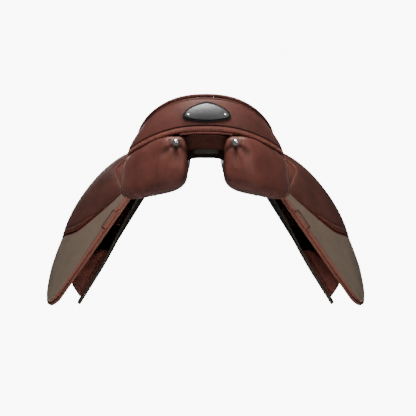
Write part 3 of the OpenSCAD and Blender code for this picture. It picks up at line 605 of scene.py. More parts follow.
class Kit:
    """Puts finished pieces on their bodies, and finishes on the CAD's nodes."""

    def __init__(self, frame: dict) -> None:
        self.nodes = frame["nodes"]

    @staticmethod
    def smooth(obj: Obj, angle: float = FLAT_SHADE) -> None:
        """Shades smooth, with sharp edges above an angle in degrees."""
        Bench.only(obj)
        bpy.ops.object.shade_smooth_by_angle(angle=math.radians(angle), keep_sharp_edges=True)

    def dress(self, obj: Obj, body: str, slot: Slot, finish: Finish | None = None, replaces: Sequence[str] = (),
              fill: float | None = None, angle: float = FLAT_SHADE) -> None:
        """Finishes a new piece.

        Args:
            obj: The piece.
            body: The CAD body that carries it.
            slot: The record's slot of its finish.
            finish: Another finish than the slot's own.
            replaces: CAD nodes that it stands for.
            fill: How full it is, for a padded piece; not used.
            angle: Edges sharper than this stay sharp, in degrees.
        """
        obj.data.materials.clear()
        obj.data.materials.append((finish or slot.finish).material())
        self.smooth(obj, angle)
        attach(obj, body)
        if replaces:
            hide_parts(*replaces)
        LOG.info("%s: %d faces", obj.name, len(obj.data.polygons))

    def pair(self, obj: Obj, body: str, slot: Slot, finish: Finish | None = None, replaces: str = "",
             **more: float) -> None:
        """Finishes a right-hand piece, whose name ends in _right, and its left-hand twin.

        Body and replaces are given without _left or _right. The rest is as for dress.
        """
        twin = Bench.mirrored(obj, obj.name.replace("_right", "_left"))
        for piece, side in ((obj, "right"), (twin, "left")):
            carrier = body if body == "saddle" else f"{body}_{side}"
            self.dress(piece, carrier, slot, finish, [f"{replaces}_{side}"] if replaces else (), **more)

    def node(self, name: str, slot: Slot, bevel: float) -> None:
        """Gives a CAD node its finish and edges rounded by bevel millimetres."""
        obj = self.nodes[name]
        obj.data.materials.clear()
        obj.data.materials.append(slot.finish.material())
        if bevel:
            modifier = obj.modifiers.new("rounded", "BEVEL")
            modifier.width, modifier.segments = bevel * MM, 3
            modifier.limit_method, modifier.angle_limit = "ANGLE", math.radians(50)
            modifier.use_clamp_overlap = True


@dataclass(frozen=True)
class Form:
    """The seat's outline and surface, the cantle facing, and the planes of flaps and inner flaps, in mm."""

    seat_rear: float = 222.0
    seat_front: float = 230.0
    seat_half: float = 119.0
    waist_half: float = 78.0
    cantle_height: float = 177.0
    seat_low: float = 112.0
    pommel_height: float = 150.0
    edge_height: float = 93.0
    nose_height: float = 130.0
    cover_t: float = 2.5
    foam_t: float = 12.0
    foam_edge_t: float = 2.0
    pipe_r: float = 3.0
    wide_y: float = -100.0
    waist_start: float = 100.0
    nose_y: float = 150.0
    rear_square: float = 2.35
    nose_square: float = 2.5
    nose_roll: float = 35.0
    facing_height: float = 59.0
    facing_t: float = 2.4
    facing_end: float = -34.0
    welt_height: float = 10.0
    welt_t: float = 5.0
    flap_slope: float = math.radians(55.0)
    flap_t: float = 4.2
    grip_t: float = 1.3
    sweat_slope: float = math.radians(58.0)
    sweat_t: float = 3.4
    sweat_bend: float = 8.0
    sweat_top: tuple[float, float] = (78.0, 74.0)
    gullet_half: float = 31.0
    panel_half: float = 150.0
    soft_lay: float = 0.6
    clear: float = 0.3
    lay: float = 0.12

    @property
    def inset(self) -> float:
        """Distance from the rim to the edge of the seat leather."""
        return self.pipe_r + 1.5 * self.soft_lay

    @property
    def grip_n(self) -> float:
        """Height of the grained cover's underside above the flap's middle."""
        return self.flap_t / 2 + 1.4 * self.soft_lay

    def seat_w(self, y: Array, inset: float = 0.0) -> Array:
        """Half width of the seat at y."""
        back = np.clip((self.wide_y - y) / (self.seat_rear + self.wide_y - inset), 0, 1)
        nose = np.clip((y - self.nose_y) / (self.seat_front - self.nose_y - inset), 0, 1)
        plain = lerp(self.seat_half, self.waist_half, ease((y - self.wide_y) / self.waist_start)) - inset
        return (plain * (1 - back**self.rear_square) ** (1 / self.rear_square)
                * (1 - nose**self.nose_square) ** (1 / self.nose_square))

    def seat_edge(self, y: Array) -> Array:
        """Height of the seat's edge."""
        rear = self.edge_height + (self.cantle_height - self.edge_height) * np.maximum(0, -y / self.seat_rear) ** 2.4
        front = self.edge_height + (self.nose_height - self.edge_height) * (y / self.seat_front) ** 2
        return np.where(y < 0, rear, front)

    def seat_mid(self, y: Array) -> Array:
        """Height of the seat on the midline."""
        rear = self.seat_low + (self.cantle_height - self.seat_low) * np.maximum(0, -y / self.seat_rear) ** 3
        roll = np.maximum(0, (y - self.seat_front + self.nose_roll) / self.nose_roll) ** 2
        front = (self.seat_low + (self.pommel_height - self.seat_low) * ease((y - 10) / (self.seat_front - 40))
                 - (self.pommel_height - self.nose_height) * roll)
        return np.where(y < 0, rear, front)

    def seat_z(self, x: Array, y: Array) -> Array:
        """Height of the seat leather."""
        u = np.minimum(1, np.abs(x) / np.maximum(1, self.seat_w(y)))
        return self.seat_mid(y) + (self.seat_edge(y) - self.seat_mid(y)) * u**2.3

    def foam_under(self, x: Array, y: Array) -> Array:
        """Height of the foam's underside."""
        dx = (self.seat_z(x + 1, y) - self.seat_z(x - 1, y)) / 2
        dy = (self.seat_z(x, y + 1) - self.seat_z(x, y - 1)) / 2
        gain = np.minimum(1.6, np.sqrt(1 + dx * dx + dy * dy))
        u = np.minimum(1, np.abs(x) / np.maximum(1, self.seat_w(y)))
        r = np.maximum(0, (-y - 120) / (self.seat_rear - 120))
        foam = self.foam_edge_t + (self.foam_t - self.foam_edge_t) * (1 - u**3) * (1 - r * r)
        return self.seat_z(x, y) - (self.cover_t + self.lay + foam) * gain

    def rim(self, q: Array) -> Array:
        """The seat's rim by a fraction from the middle of the cantle forwards, right above 0."""
        y = -self.seat_rear + (self.seat_rear + self.facing_end) * np.abs(q) ** self.rear_square
        return stack(np.sign(q) * self.seat_w(y), y, self.seat_edge(y))

    def rim_out(self, q: Array) -> Array:
        """Level direction outwards from the rim."""
        t = self.rim(np.minimum(1, q + 0.004)) - self.rim(np.maximum(-1, q - 0.004))
        return unit(stack(t[..., 1], -t[..., 0], 0.0))

    def loop(self, n: int) -> Array:
        """The whole rim as n evenly spaced points."""
        a = np.linspace(0, 2 * math.pi, 2881)[:-1] + 1e-4
        c, s = np.cos(a), np.sin(a)
        y = np.where(c < 0, self.wide_y + (self.seat_rear + self.wide_y) * spow(c, 2 / self.rear_square),
                     self.wide_y + (self.seat_front - self.wide_y) * spow(c, 2 / self.nose_square))
        p = stack(np.where(s < 0, -1, 1) * self.seat_w(y), y, self.seat_edge(y))
        p = np.concatenate([p, p[:1]])
        run = np.r_[0, np.cumsum(np.linalg.norm(np.diff(p, axis=0), axis=1))]
        at = np.arange(n) * run[-1] / n
        return np.stack([np.interp(at, run, p[:, k]) for k in range(3)], 1)

    def welt(self, q: Array) -> Array:
        """The welt's middle line."""
        out = [(-self.seat_rear, 10), (-190, 15), (-150, 18), (-100, 18), (-75, 15), (-50, 7), (self.facing_end, 2)]
        drop = [(-self.seat_rear, 1), (-190, 0.89), (-165, 0.79), (-135, 0.65), (-100, 0.60), (-70, 0.53),
                (-50, 0.34), (self.facing_end, 0.18)]
        p = self.rim(q)
        y = p[..., 1]
        return p + self.rim_out(q) * curve(out, y)[..., None] - stack(0.0, 0.0, self.facing_height * curve(drop, y))

    def facing(self, q: Array, v: Array, n: Array | float) -> Array:
        """The cantle facing, from the rim at v 0 to the welt at v 1, lifted by n."""
        top = self.rim(q) - np.array([0, 0, self.pipe_r * 1.7])
        low = self.welt(q) + np.array([0, 0, self.welt_height / 2 + self.soft_lay])
        v = np.asarray(v, float)
        return lerp(top, low, v[..., None]) + self.rim_out(q) * (3 * np.sin(math.pi * v) + 1 + n)[..., None]

    def facing_y(self, x: Array, z: Array) -> Array:
        """Where the facing lies behind a point of the rear view."""
        q = x / self.seat_half / 1.97
        p, w = self.facing(q, 0 * q, 0.0), self.facing(q, 0 * q + 1, 0.0)
        v = (p[..., 2] - z) / np.maximum(1, p[..., 2] - w[..., 2])
        return self.facing(q, v, 0.0)[..., 1]

    def sweat(self, s: Array, n: Array | float) -> tuple[Array, Array]:
        """x and z on the inner flap's plane, s down its slope and n out from it."""
        c, k = math.cos(self.sweat_slope), math.sin(self.sweat_slope)
        return self.sweat_top[0] + c * s + k * n, self.sweat_top[1] - k * s + c * n

    @staticmethod
    def fall(s: Array, slope: float, share: Array) -> Array:
        """How leather falls away from its top, straight or, by share, swelling over the horse's shoulder."""
        swell = [(0, [0, 0]), (71, [66, -16]), (111, [100, -36]), (158, [134, -68]), (213, [167, -112]),
                 (270, [194, -162]), (340, [220, -227]), (395, [232, -281])]
        plain = np.stack([s * math.cos(slope), -s * math.sin(slope)], -1)
        return lerp(plain, curve(swell, s), share[..., None])

    def flap_mid(self, y: Array, s: Array) -> Array:
        """The flap's middle surface, s down from the seat."""
        hinge_x = self.waist_half + self.pipe_r + self.clear
        hinge_z = self.edge_height - 5.6 + 0.09 * y
        d = self.fall(s, self.flap_slope, ease((y + 20) / 220))
        return stack(hinge_x + d[..., 0], y, hinge_z + d[..., 1])

    def sweat_mid(self, y: Array, s: Array) -> Array:
        """The inner flap's middle surface."""
        d = self.fall(s, self.sweat_slope, 0.62 * ease((y - 132) / 114))
        bend = self.sweat_bend * ease((s - 90) / 150) * (1 - ease((y - 20) / 90))
        return stack(self.sweat_top[0] + d[..., 0] - math.sin(self.sweat_slope) * bend, y,
                     self.sweat_top[1] + d[..., 1] - math.cos(self.sweat_slope) * bend)


@dataclass(frozen=True)
class Cut:
    """Leather cut to four sides in (y, s) and laid on a surface.

    Args:
        sides: Top, low, rear and front side, each a list of points.
        ground: The surface it lies on.
        low: Height of its underside above that surface.
        high: Height of its upper side.
        crown: How far its middle stands higher.
        square: How square the crown is.
    """

    sides: tuple
    ground: Callable[[Array, Array], Array]
    low: float
    high: float
    crown: float = 0.0
    square: float = 4.0

    def side(self, k: int, t: Array) -> Array:
        """A point of one side."""
        pts = self.sides[k]
        return curve([(i / (len(pts) - 1), p) for i, p in enumerate(pts)], t)

    def spot(self, u: Array, v: Array) -> Array:
        """The (y, s) of a place on the cut, u forwards and v down."""
        top, low = self.sides[TOP], self.sides[LOW]
        u1, v1 = np.asarray(u)[..., None], np.asarray(v)[..., None]
        corners = lerp(lerp(np.array(top[0], float), np.array(top[-1], float), u1),
                       lerp(np.array(low[0], float), np.array(low[-1], float), u1), v1)
        return (lerp(self.side(TOP, u), self.side(LOW, u), v1) + lerp(self.side(REAR, v), self.side(FRONT, v), u1)
                - corners)

    def lift(self, u: Array, v: Array, n: Array | float) -> tuple[Array, Array]:
        """Points at height n above the surface, and its normals."""
        y, s = self.spot(u, v).T
        f = self.ground
        normal = unit(np.cross(f(y, s + 2) - f(y, s - 2), f(y + 2, s) - f(y - 2, s)))
        return f(y, s) + normal * (n + 0 * y)[..., None], normal

    def reach(self, u: Array, v: Array) -> Array:
        """Distances from the top, low, rear and front side, in millimetres."""
        p, zero = self.spot(u, v), 0 * u
        return np.stack([np.linalg.norm(p - self.spot(*q), axis=-1)
                         for q in ((u, zero), (u, zero + 1), (zero, v), (zero + 1, v))])

    def height(self, u: Array, v: Array) -> Array:
        """Height of the upper side with its crown."""
        e = self.square
        dome = np.maximum(0, (1 - np.abs(2 * u - 1) ** e) * (1 - np.abs(2 * v - 1) ** e)) ** 0.5
        return self.high + self.crown * dome

    def piece(self, name: str, cols: int, rows: int, edge: float, relief: Callable | None = None) -> Obj:
        """The cut as a closed piece with rounded edges.

        Args:
            name: The piece's name.
            cols: Cells forwards.
            rows: Cells downwards.
            edge: Width of its rounded edges, in millimetres.
            relief: Gives extra height, lighter tone and darkening for distances and (y, s); the tone covers borders and
                painted highlight, the darkening painted shade.

        Returns:
            The piece, with its lighter edges and borders, its painted highlight and its painted shade marked.
        """
        def skin(u: Array, v: Array) -> Array:
            a, b = crowd(u), crowd(v)
            extra = relief(self.reach(a, b), self.spot(a, b))[0] if relief else 0.0
            return self.lift(a, b, self.height(a, b) + extra)[0]

        obj = Bench.shell(name, cols, rows, skin, lambda u, v: self.lift(crowd(u), crowd(v), self.low)[0], edge)
        a, b = (crowd(np.clip(t, 0, 1)) for t in Bench.grid(obj))
        reach = self.reach(a, b)
        # Lighter cut edges all round; the relief adds borders, painted highlight and painted shade.
        rim_tone_and_painted_highlight = 1 - ease((reach.min(0) - 0.3) / 1.3)
        seam_dark_and_painted_shade = 0 * rim_tone_and_painted_highlight
        if relief:
            _, more, seam_dark_and_painted_shade = relief(reach, self.spot(a, b))
            rim_tone_and_painted_highlight = np.maximum(rim_tone_and_painted_highlight, more)
        Bench.mark(obj, "rim_tone_and_painted_highlight", rim_tone_and_painted_highlight)
        Bench.mark(obj, "seam_dark_and_painted_shade", seam_dark_and_painted_shade)
        return obj

    def border(self, k: int, inset: float, span: tuple[float, float]) -> tuple[Array, Array]:
        """Points and normals beside one side, for stitches.

        Args:
            k: TOP, LOW, REAR or FRONT.
            inset: Distance from that side, in millimetres.
            span: The part of the side that they follow.

        Returns:
            The points and the normals.
        """
        t = np.linspace(*span, 160)
        zero = 0 * t
        level = k in (TOP, LOW)
        ends = ((t, zero), (t, zero + 1)) if level else ((zero, t), (zero + 1, t))
        share = inset / np.linalg.norm(self.spot(*ends[1]) - self.spot(*ends[0]), axis=1)
        share = share if k in (TOP, REAR) else 1 - share
        u, v = (t, share) if level else (share, t)
        return self.lift(u, v, self.height(u, v))

    def seam(self, name: str, u: Array, v: Array, high: float, thick: tuple[float, float]) -> Obj:
        """A thin roll along a line on the cut, at height high."""
        path, normal = self.lift(u, v, high)
        return Bench.tube(name, path, *thick, unit(np.cross(unit(np.gradient(path, axis=0)), normal)), 10)


@dataclass(frozen=True)
class Assembly:
    """A group of the saddle's pieces.

    Args:
        form: The shared surfaces.
        kit: The finishes.
    """

    form: Form
    kit: Kit

    def build(self) -> None:
        """Makes and dresses the pieces."""
        raise NotImplementedError


@dataclass(frozen=True)
class Seat(Assembly):
    """Seat leather on its foam, and the piping round it.

    Args:
        seam_at: Where the side seams run, as a share of the half width.
        seam_rows: Distance of the stitches from a seam, in millimetres.
    """

    seam_at: float = 0.64
    seam_rows: float = 3.4

    def seam(self, x: Array, y: Array, width: float) -> Array:
        """1 on the side seams."""
        return groove(np.abs(np.abs(x) - self.seam_at * self.form.seat_w(y, self.form.inset)), 0.0, width)

    def place(self, u: Array, v: Array) -> tuple[Array, Array]:
        """x and y of a place on the seat."""
        f = self.form
        y = lerp(-f.seat_rear + f.inset + 0.8, f.seat_front - f.inset - 0.8, (1 - np.cos(math.pi * v)) / 2)
        return (2 * u - 1) * f.seat_w(y, f.inset), y

    def top(self, u: Array, v: Array) -> Array:
        """The leather's surface with its seams."""
        x, y = self.place(u, v)
        return stack(x, y, self.form.seat_z(x, y) - 0.9 * self.seam(x, y, 5.0))

    def under(self, u: Array, v: Array) -> Array:
        """The foam's underside."""
        x, y = self.place(u, v)
        return stack(x, y, self.form.foam_under(x, y))

    def build(self) -> None:
        """Seat, piping and stitches."""
        f = self.form
        seat = Bench.shell("seat", 110, 150, self.top, self.under, 0.8)
        x, y, _ = (Bench.places(seat) / MM).T
        Bench.mark(seat, "seam_dark_and_painted_shade", 0.8 * self.seam(x, y, 2.6))
        self.kit.dress(seat, "saddle", Slot.SEAT, replaces=("seat_cover", "seat_foam"), fill=0.9)
        loop = f.loop(420) - np.array([0, 0, f.pipe_r * 0.6])
        t = np.roll(loop, -1, 0) - np.roll(loop, 1, 0)
        radius = f.pipe_r - f.lay
        piping = Bench.tube("seat_roll", loop, radius, radius, unit(stack(t[:, 1], -t[:, 0], 0.0)), 14, True)
        self.kit.dress(piping, "saddle", Slot.PIPING, replaces=("seat_piping",))
        v = np.linspace(0.1, 0.93, 240)
        _, y = self.place(v, v)
        for side, name in ((-1, "left"), (1, "right")):
            for off, row in ((-self.seam_rows, "inner"), (self.seam_rows, "outer")):
                x = side * (self.seam_at * f.seat_w(y, f.inset) + off)
                line = Bench.stitches(f"seat_stitches_{name}_{row}", stack(x, y, f.seat_z(x, y)),
                                      np.tile([0.0, 0.0, 1.0], (len(v), 1)))
                self.kit.dress(line, "saddle", Slot.SEAT, THREAD)


@dataclass(frozen=True)
class Cantle(Assembly):
    """The leather on the back of the cantle, the stitched welt under it, and the bare badge.

    Args:
        rim_line: Distance from the rim of the groove, darkened with painted shade, in millimetres.
        lip_span: Ends of the second lip under the welt, across the saddle.
        badge_w: Width of the badge plate.
        badge_h: Its height.
        badge_rim: Margin of its surround.
        badge_low: How far below its middle it is widest, as a share of half its height.
        badge_at: x and z of its middle.
    """

    rim_line: float = 3.6
    lip_span: tuple[float, float] = (-44.0, 46.0)
    badge_w: float = 74.0
    badge_h: float = 28.0
    badge_rim: float = 4.0
    badge_low: float = 0.45
    badge_at: tuple[float, float] = (2.0, 147.0)

    def build(self) -> None:
        """Facing, welt and badge."""
        self.facing()
        self.welt()
        self.badge()

    def marks(self, u: Array, v: Array) -> tuple[Array, ...]:
        """Place on the facing of a grid's u and v, with the line inside its rim and its tucked lower edge."""
        f, q, w = self.form, 1 - 2 * u, crowd(v, 0.6)
        fall = np.linalg.norm(f.facing(q, 0 * q, 0.0) - f.facing(q, 0 * q + 1, 0.0), axis=-1)
        return q, w, groove(w * fall, self.rim_line, 2.2), 1 - ease((1 - w) * fall / 2.0)

    def facing(self) -> None:
        """The facing and its stitches."""
        f = self.form

        def skin(u: Array, v: Array) -> Array:
            q, w, line, low = self.marks(u, v)
            return f.facing(q, w, -0.7 * line - 0.8 * low)

        facing = Bench.shell("cantle_back", 240, 40, skin, lambda u, v: f.facing(1 - 2 * u, crowd(v, 0.6), -f.facing_t),
                             0.5)
        _, _, line, low = self.marks(*(np.clip(t, 0, 1) for t in Bench.grid(facing)))
        # Darkens the groove inside the rim and the lower edge where it tucks under the welt: painted shade.
        Bench.mark(facing, "seam_dark_and_painted_shade", np.maximum(0.4 * line, low))
        self.kit.dress(facing, "saddle", Slot.CANTLE, replaces=("cantle_facing",))
        for side, name in ((-1, "left"), (1, "right")):
            q = side * np.linspace(0.74, 0.93, 60)
            row = Bench.stitches(f"cantle_stitches_{name}", f.facing(q, 0 * q + 0.72, 0.0), f.rim_out(q), 4.2, 2.6)
            self.kit.dress(row, "saddle", Slot.CANTLE, PALE_THREAD)

    def welt(self) -> None:
        """The welt band with its stitches, and the lip under it."""
        f = self.form
        q = np.linspace(1, -1, 320)
        out, path = f.rim_out(q), f.welt(q)
        tall = (f.welt_height / 2 - f.lay) * lerp(1.0, 0.72, ease((np.abs(q) - 0.5) / 0.4))
        band = Bench.tube("cantle_band", path, f.welt_t / 2, tall, out, 20)
        p = Bench.places(band) / MM
        near = np.argmin(((p[:, None, :2] - path[None, ::4, :2]) ** 2).sum(2), 1) * 4
        rise = np.abs(p[:, 2] - path[near, 2])
        # Darkens a line under the stitches, and the band's upper and lower edges with painted shade.
        Bench.mark(band, "seam_dark_and_painted_shade", 0.8 * groove(rise, 0.0, 1.6) + 0.9 * ease((rise - 0.8 * tall[near]) / 1.2))
        self.kit.dress(band, "saddle", Slot.PIPING, WELT, ("cantle_welt",))
        row = Bench.stitches("cantle_band_stitches", path + out * (f.welt_t / 2 - 0.2), out, 3.4, 4.6, 0.6, True, 0.3)
        self.kit.dress(row, "saddle", Slot.PIPING, THREAD)
        keep = (path[:, 0] > self.lip_span[0]) & (path[:, 0] < self.lip_span[1])
        under = path[keep] - np.array([0, 0, f.welt_height / 2 + 1.6]) + out[keep] * 0.4
        self.kit.dress(Bench.tube("cantle_lip", under, 1.5, 1.5, out[keep]), "saddle", Slot.PIPING, WELT)

    def edge(self, a: Array, grow: float) -> Array:
        """x and z of the badge's outline, a rounded triangle that widens downwards."""
        k, s = np.cos(a), np.sin(a)
        half, tall, low = self.badge_w / 2 + grow, self.badge_h / 2 + grow, self.badge_low
        rise = np.where(s > 0, (1 + low) * spow(s, 1.15), (1 - low) * spow(s, 0.8))
        return np.stack([self.badge_at[0] + half * spow(k, 1.4), self.badge_at[1] + tall * (rise - low)], -1)

    def disc(self, name: str, grow: float, front: float, thick: float, bevel: float) -> Obj:
        """A plate of the badge's outline, bent round the cantle.

        Args:
            name: The piece's name.
            grow: Margin outside the plate.
            front: Height of its face above the facing.
            thick: Its thickness.
            bevel: Width of its rounded edge.

        Returns:
            The plate.
        """
        def place(u: Array, v: Array) -> Array:
            x, z = lerp(np.array(self.badge_at), self.edge(2 * math.pi * u, grow), v[:, None]).T
            return stack(x, self.form.facing_y(x, z) - front, z)

        obj = Bench.drape(name, 144, 26, place)
        Bench.weld(obj)
        if np.mean([p.normal.y for p in obj.data.polygons]) > 0:
            Bench.edit(obj, (bpy.ops.mesh.flip_normals, {}))
        Bench.modify(obj, "SOLIDIFY", thickness=thick * MM, offset=-1.0)
        Bench.modify(obj, "BEVEL", width=bevel * MM, segments=3, limit_method="ANGLE", angle_limit=SHARP)
        return obj

    def badge(self) -> None:
        """Black surround and bare brushed plate."""
        lay, surround, plate = self.form.lay, 2.0, 1.2
        back = self.disc("badge_back", self.badge_rim, lay + surround, surround, 0.8)
        self.kit.dress(back, "saddle", Slot.BADGE_BLACK, replaces=("badge_surround",))
        face = self.disc("badge_face", 0.0, 2 * lay + surround + plate, plate, 0.4)
        self.kit.dress(face, "saddle", Slot.BADGE_METAL, replaces=("badge_plate",))


@dataclass(frozen=True)
class Panels(Assembly):
    """The stuffed panels and the lining between them.

    Args:
        square: Squareness of the section.
        nail: x and z of the nail on the rear panel.
        pleats: Number of pleats under the nail.
        point_in: Depth of the room left for a point pocket.
        ends: y of the panel's rear and front end.
        cap: Rings of the grid that close each end.
    """

    square: float = 3.8
    nail: tuple[float, float] = (50.0, 95.0)
    pleats: int = 5
    point_in: float = 10.0
    ends: tuple[float, float] = (-241.0, 206.0)
    cap: int = 4

    @staticmethod
    def roof(y: Array | float) -> Array:
        """Height of the lining's underside."""
        return curve([(-226, 108), (-205, 106.5), (-150, 96), (-80, 84.5), (0, 79), (60, 80), (120, 87), (170, 96),
                      (206, 102)], y)

    def keys(self) -> list[tuple]:
        """Four corners of the section along the saddle."""
        f, g = self.form, self.form.gullet_half
        gap = f.sweat_t / 2 + f.clear

        def front(y: float, length: float, inner: float) -> tuple:
            return (y, [[g, self.roof(y) - 1.4], [*f.sweat(6, -gap)], [*f.sweat(length, -gap)], [g + 2, inner]])

        def rear(y: float, b: tuple, c: tuple, d: float) -> tuple:
            return (y, [[g, self.roof(y) - 1.4], [*b], [*c], [g + 1, d]])

        return [
            (-241, [[48, 88], [62, 86], [64, 50], [46, 52]]),
            (-236, [[35, 104], [74, 102], [84, 28], [36, 34]]),
            rear(-224, (87, 103), (101, 12), 24), rear(-200, (107, 100), (122, 3), 20),
            rear(-172, (128, 92), (f.panel_half - 7, -3), 17), rear(-140, (141, 83), (f.panel_half + 1, -5), 17),
            rear(-105, (143, 74), (f.panel_half + 2, -5), 20), rear(-84, (136, 68), (143, -3), 25),
            rear(-66, (104, 66), (128, 0), 32),
            front(-50, 84, 34), front(0, 84, 41), front(60, 84, 43), front(120, 80, 47), front(170, 81, 54),
            front(194, 77, 62),
            (202, [[44, 94], [76, 79], [101, 33], [48, 68]]), (206, [[54, 84], [76, 75], [92, 45], [56, 66]]),
        ]

    def section(self, y: Array, b: Array, shrink: Array) -> Array:
        """A point of the section at y, at angle b, drawn in towards its middle."""
        f = self.form
        c = curve(self.keys(), y)
        gap = f.sweat_t / 2 + f.clear
        normal = np.array([math.sin(f.sweat_slope), math.cos(f.sweat_slope)])
        back = normal * ((self.point_in + 1 + f.clear - gap) * ease((y - 96) / 36))[:, None]
        r = shrink * (np.abs(np.cos(b)) ** self.square + np.abs(np.sin(b)) ** self.square) ** (-1 / self.square)
        u, v = ((r * np.cos(b) + 1) / 2)[:, None], ((r * np.sin(b) + 1) / 2)[:, None]
        return lerp(lerp(c[:, 3], c[:, 2] - back, u), lerp(c[:, 0], c[:, 1] - back, u), v)

    def pucker(self, x: Array, y: Array, z: Array) -> tuple[Array, Array]:
        """How deep the leather draws in round the rear nail, and how much painted shade darkens its ring and pleats."""
        dx, dz = x - self.nail[0], z - self.nail[1]
        r, a = np.hypot(dx, dz), np.arctan2(dx, -dz)
        rear = 1 - ease((y + 225) / 25)
        ring = groove(r, 9.0, 9.0)
        fan = (0.5 + 0.5 * np.cos(a * self.pleats * 1.5)) * (1 - ease((np.abs(a) - 0.9) / 0.7))
        pleat = fan * ease((r - 7) / 6) * (1 - ease((r - 16) / 26))
        return rear * (1.3 * ring + 3.2 * pleat), rear * (0.5 * ring + 0.75 * pleat * fan)

    @staticmethod
    def side_seam(y: Array, b: Array) -> Array:
        """1 on the seam that runs down the rear panel's outer side, at angle b of the section."""
        turn = np.abs((b + 0.2 + math.pi) % (2 * math.pi) - math.pi)
        return groove(y, -158.0 + 10 * turn, 6.0) * (1 - ease((turn - 1.0) / 0.4))

    def body(self) -> Obj:
        """The right panel."""
        cap, rows, cols = self.cap, 190, 96
        stations = lerp(*self.ends, crowd(np.linspace(0, 1, rows + 1 - 2 * cap), 0.82))
        ys = np.r_[[self.ends[0]] * cap, stations, [self.ends[1]] * cap]
        shrinks = np.r_[np.linspace(0, 0.9, cap), np.ones(len(stations)), np.linspace(0.9, 0, cap)]

        def ring(u: Array, v: Array) -> tuple[Array, ...]:
            i, b = np.rint(v * rows).astype(int), 2 * math.pi * u
            return ys[i], b, shrinks[i], self.side_seam(ys[i], b)

        def place(u: Array, v: Array) -> Array:
            y, b, shrink, seam = ring(u, v)
            x, z = self.section(y, b, shrink).T
            seam = 0.9 * seam
            return stack(x + seam * np.cos(b), y + self.pucker(x, y, z)[0], z + seam * np.sin(b))

        panel = Bench.drape("panel_pad_right", cols, rows, place)
        # Lightens the side seam towards the rim colour: a painted highlight along the panel's outer side.
        Bench.mark(panel, "rim_tone_and_painted_highlight", ring(*Bench.grid(panel))[3])
        Bench.weld(panel)
        # Painted shade in the ring and pleats round the nail.
        Bench.mark(panel, "seam_dark_and_painted_shade", self.pucker(*(Bench.places(panel) / MM).T)[1])
        return panel

    def build(self) -> None:
        """Panels and lining."""
        self.kit.pair(self.body(), "saddle", Slot.PANEL, replaces="panel", fill=0.95, angle=60)
        half = self.form.gullet_half + 7

        def lining(lift: float) -> Callable[[Array, Array], Array]:
            def place(u: Array, v: Array) -> Array:
                y = lerp(-226, 206, v)
                sag = np.maximum(0, (np.abs(2 * u - 1) * half - 14) / 24) ** 2.2
                return stack(half * (1 - 2 * u), y, self.roof(y) + lift - 7 * sag)

            return place

        roof = Bench.shell("channel_lining", 36, 150, lining(2.5), lining(0.0), 0.5)
        x, y, _ = (Bench.places(roof) / MM).T
        glow = ease((y + 116) / 8) * (1 - ease((y + 70) / 10)) * (1 - ease((np.abs(x - 1) - 17) / 8))
        Bench.mark(roof, "rim_tone_and_painted_highlight", 0.9 * glow)
        # Darkens all but the rear of the lining, and its sides: painted shade under the arch and in the channel's
        # corners; the green strip is left out.
        Bench.mark(roof, "seam_dark_and_painted_shade", ease((y + 122) / 10) * (1 - glow) + 0.5 * ease((np.abs(x) - 24) / 8))
        self.kit.dress(roof, "saddle", Slot.PANEL, LINING, ("gullet_lining",))


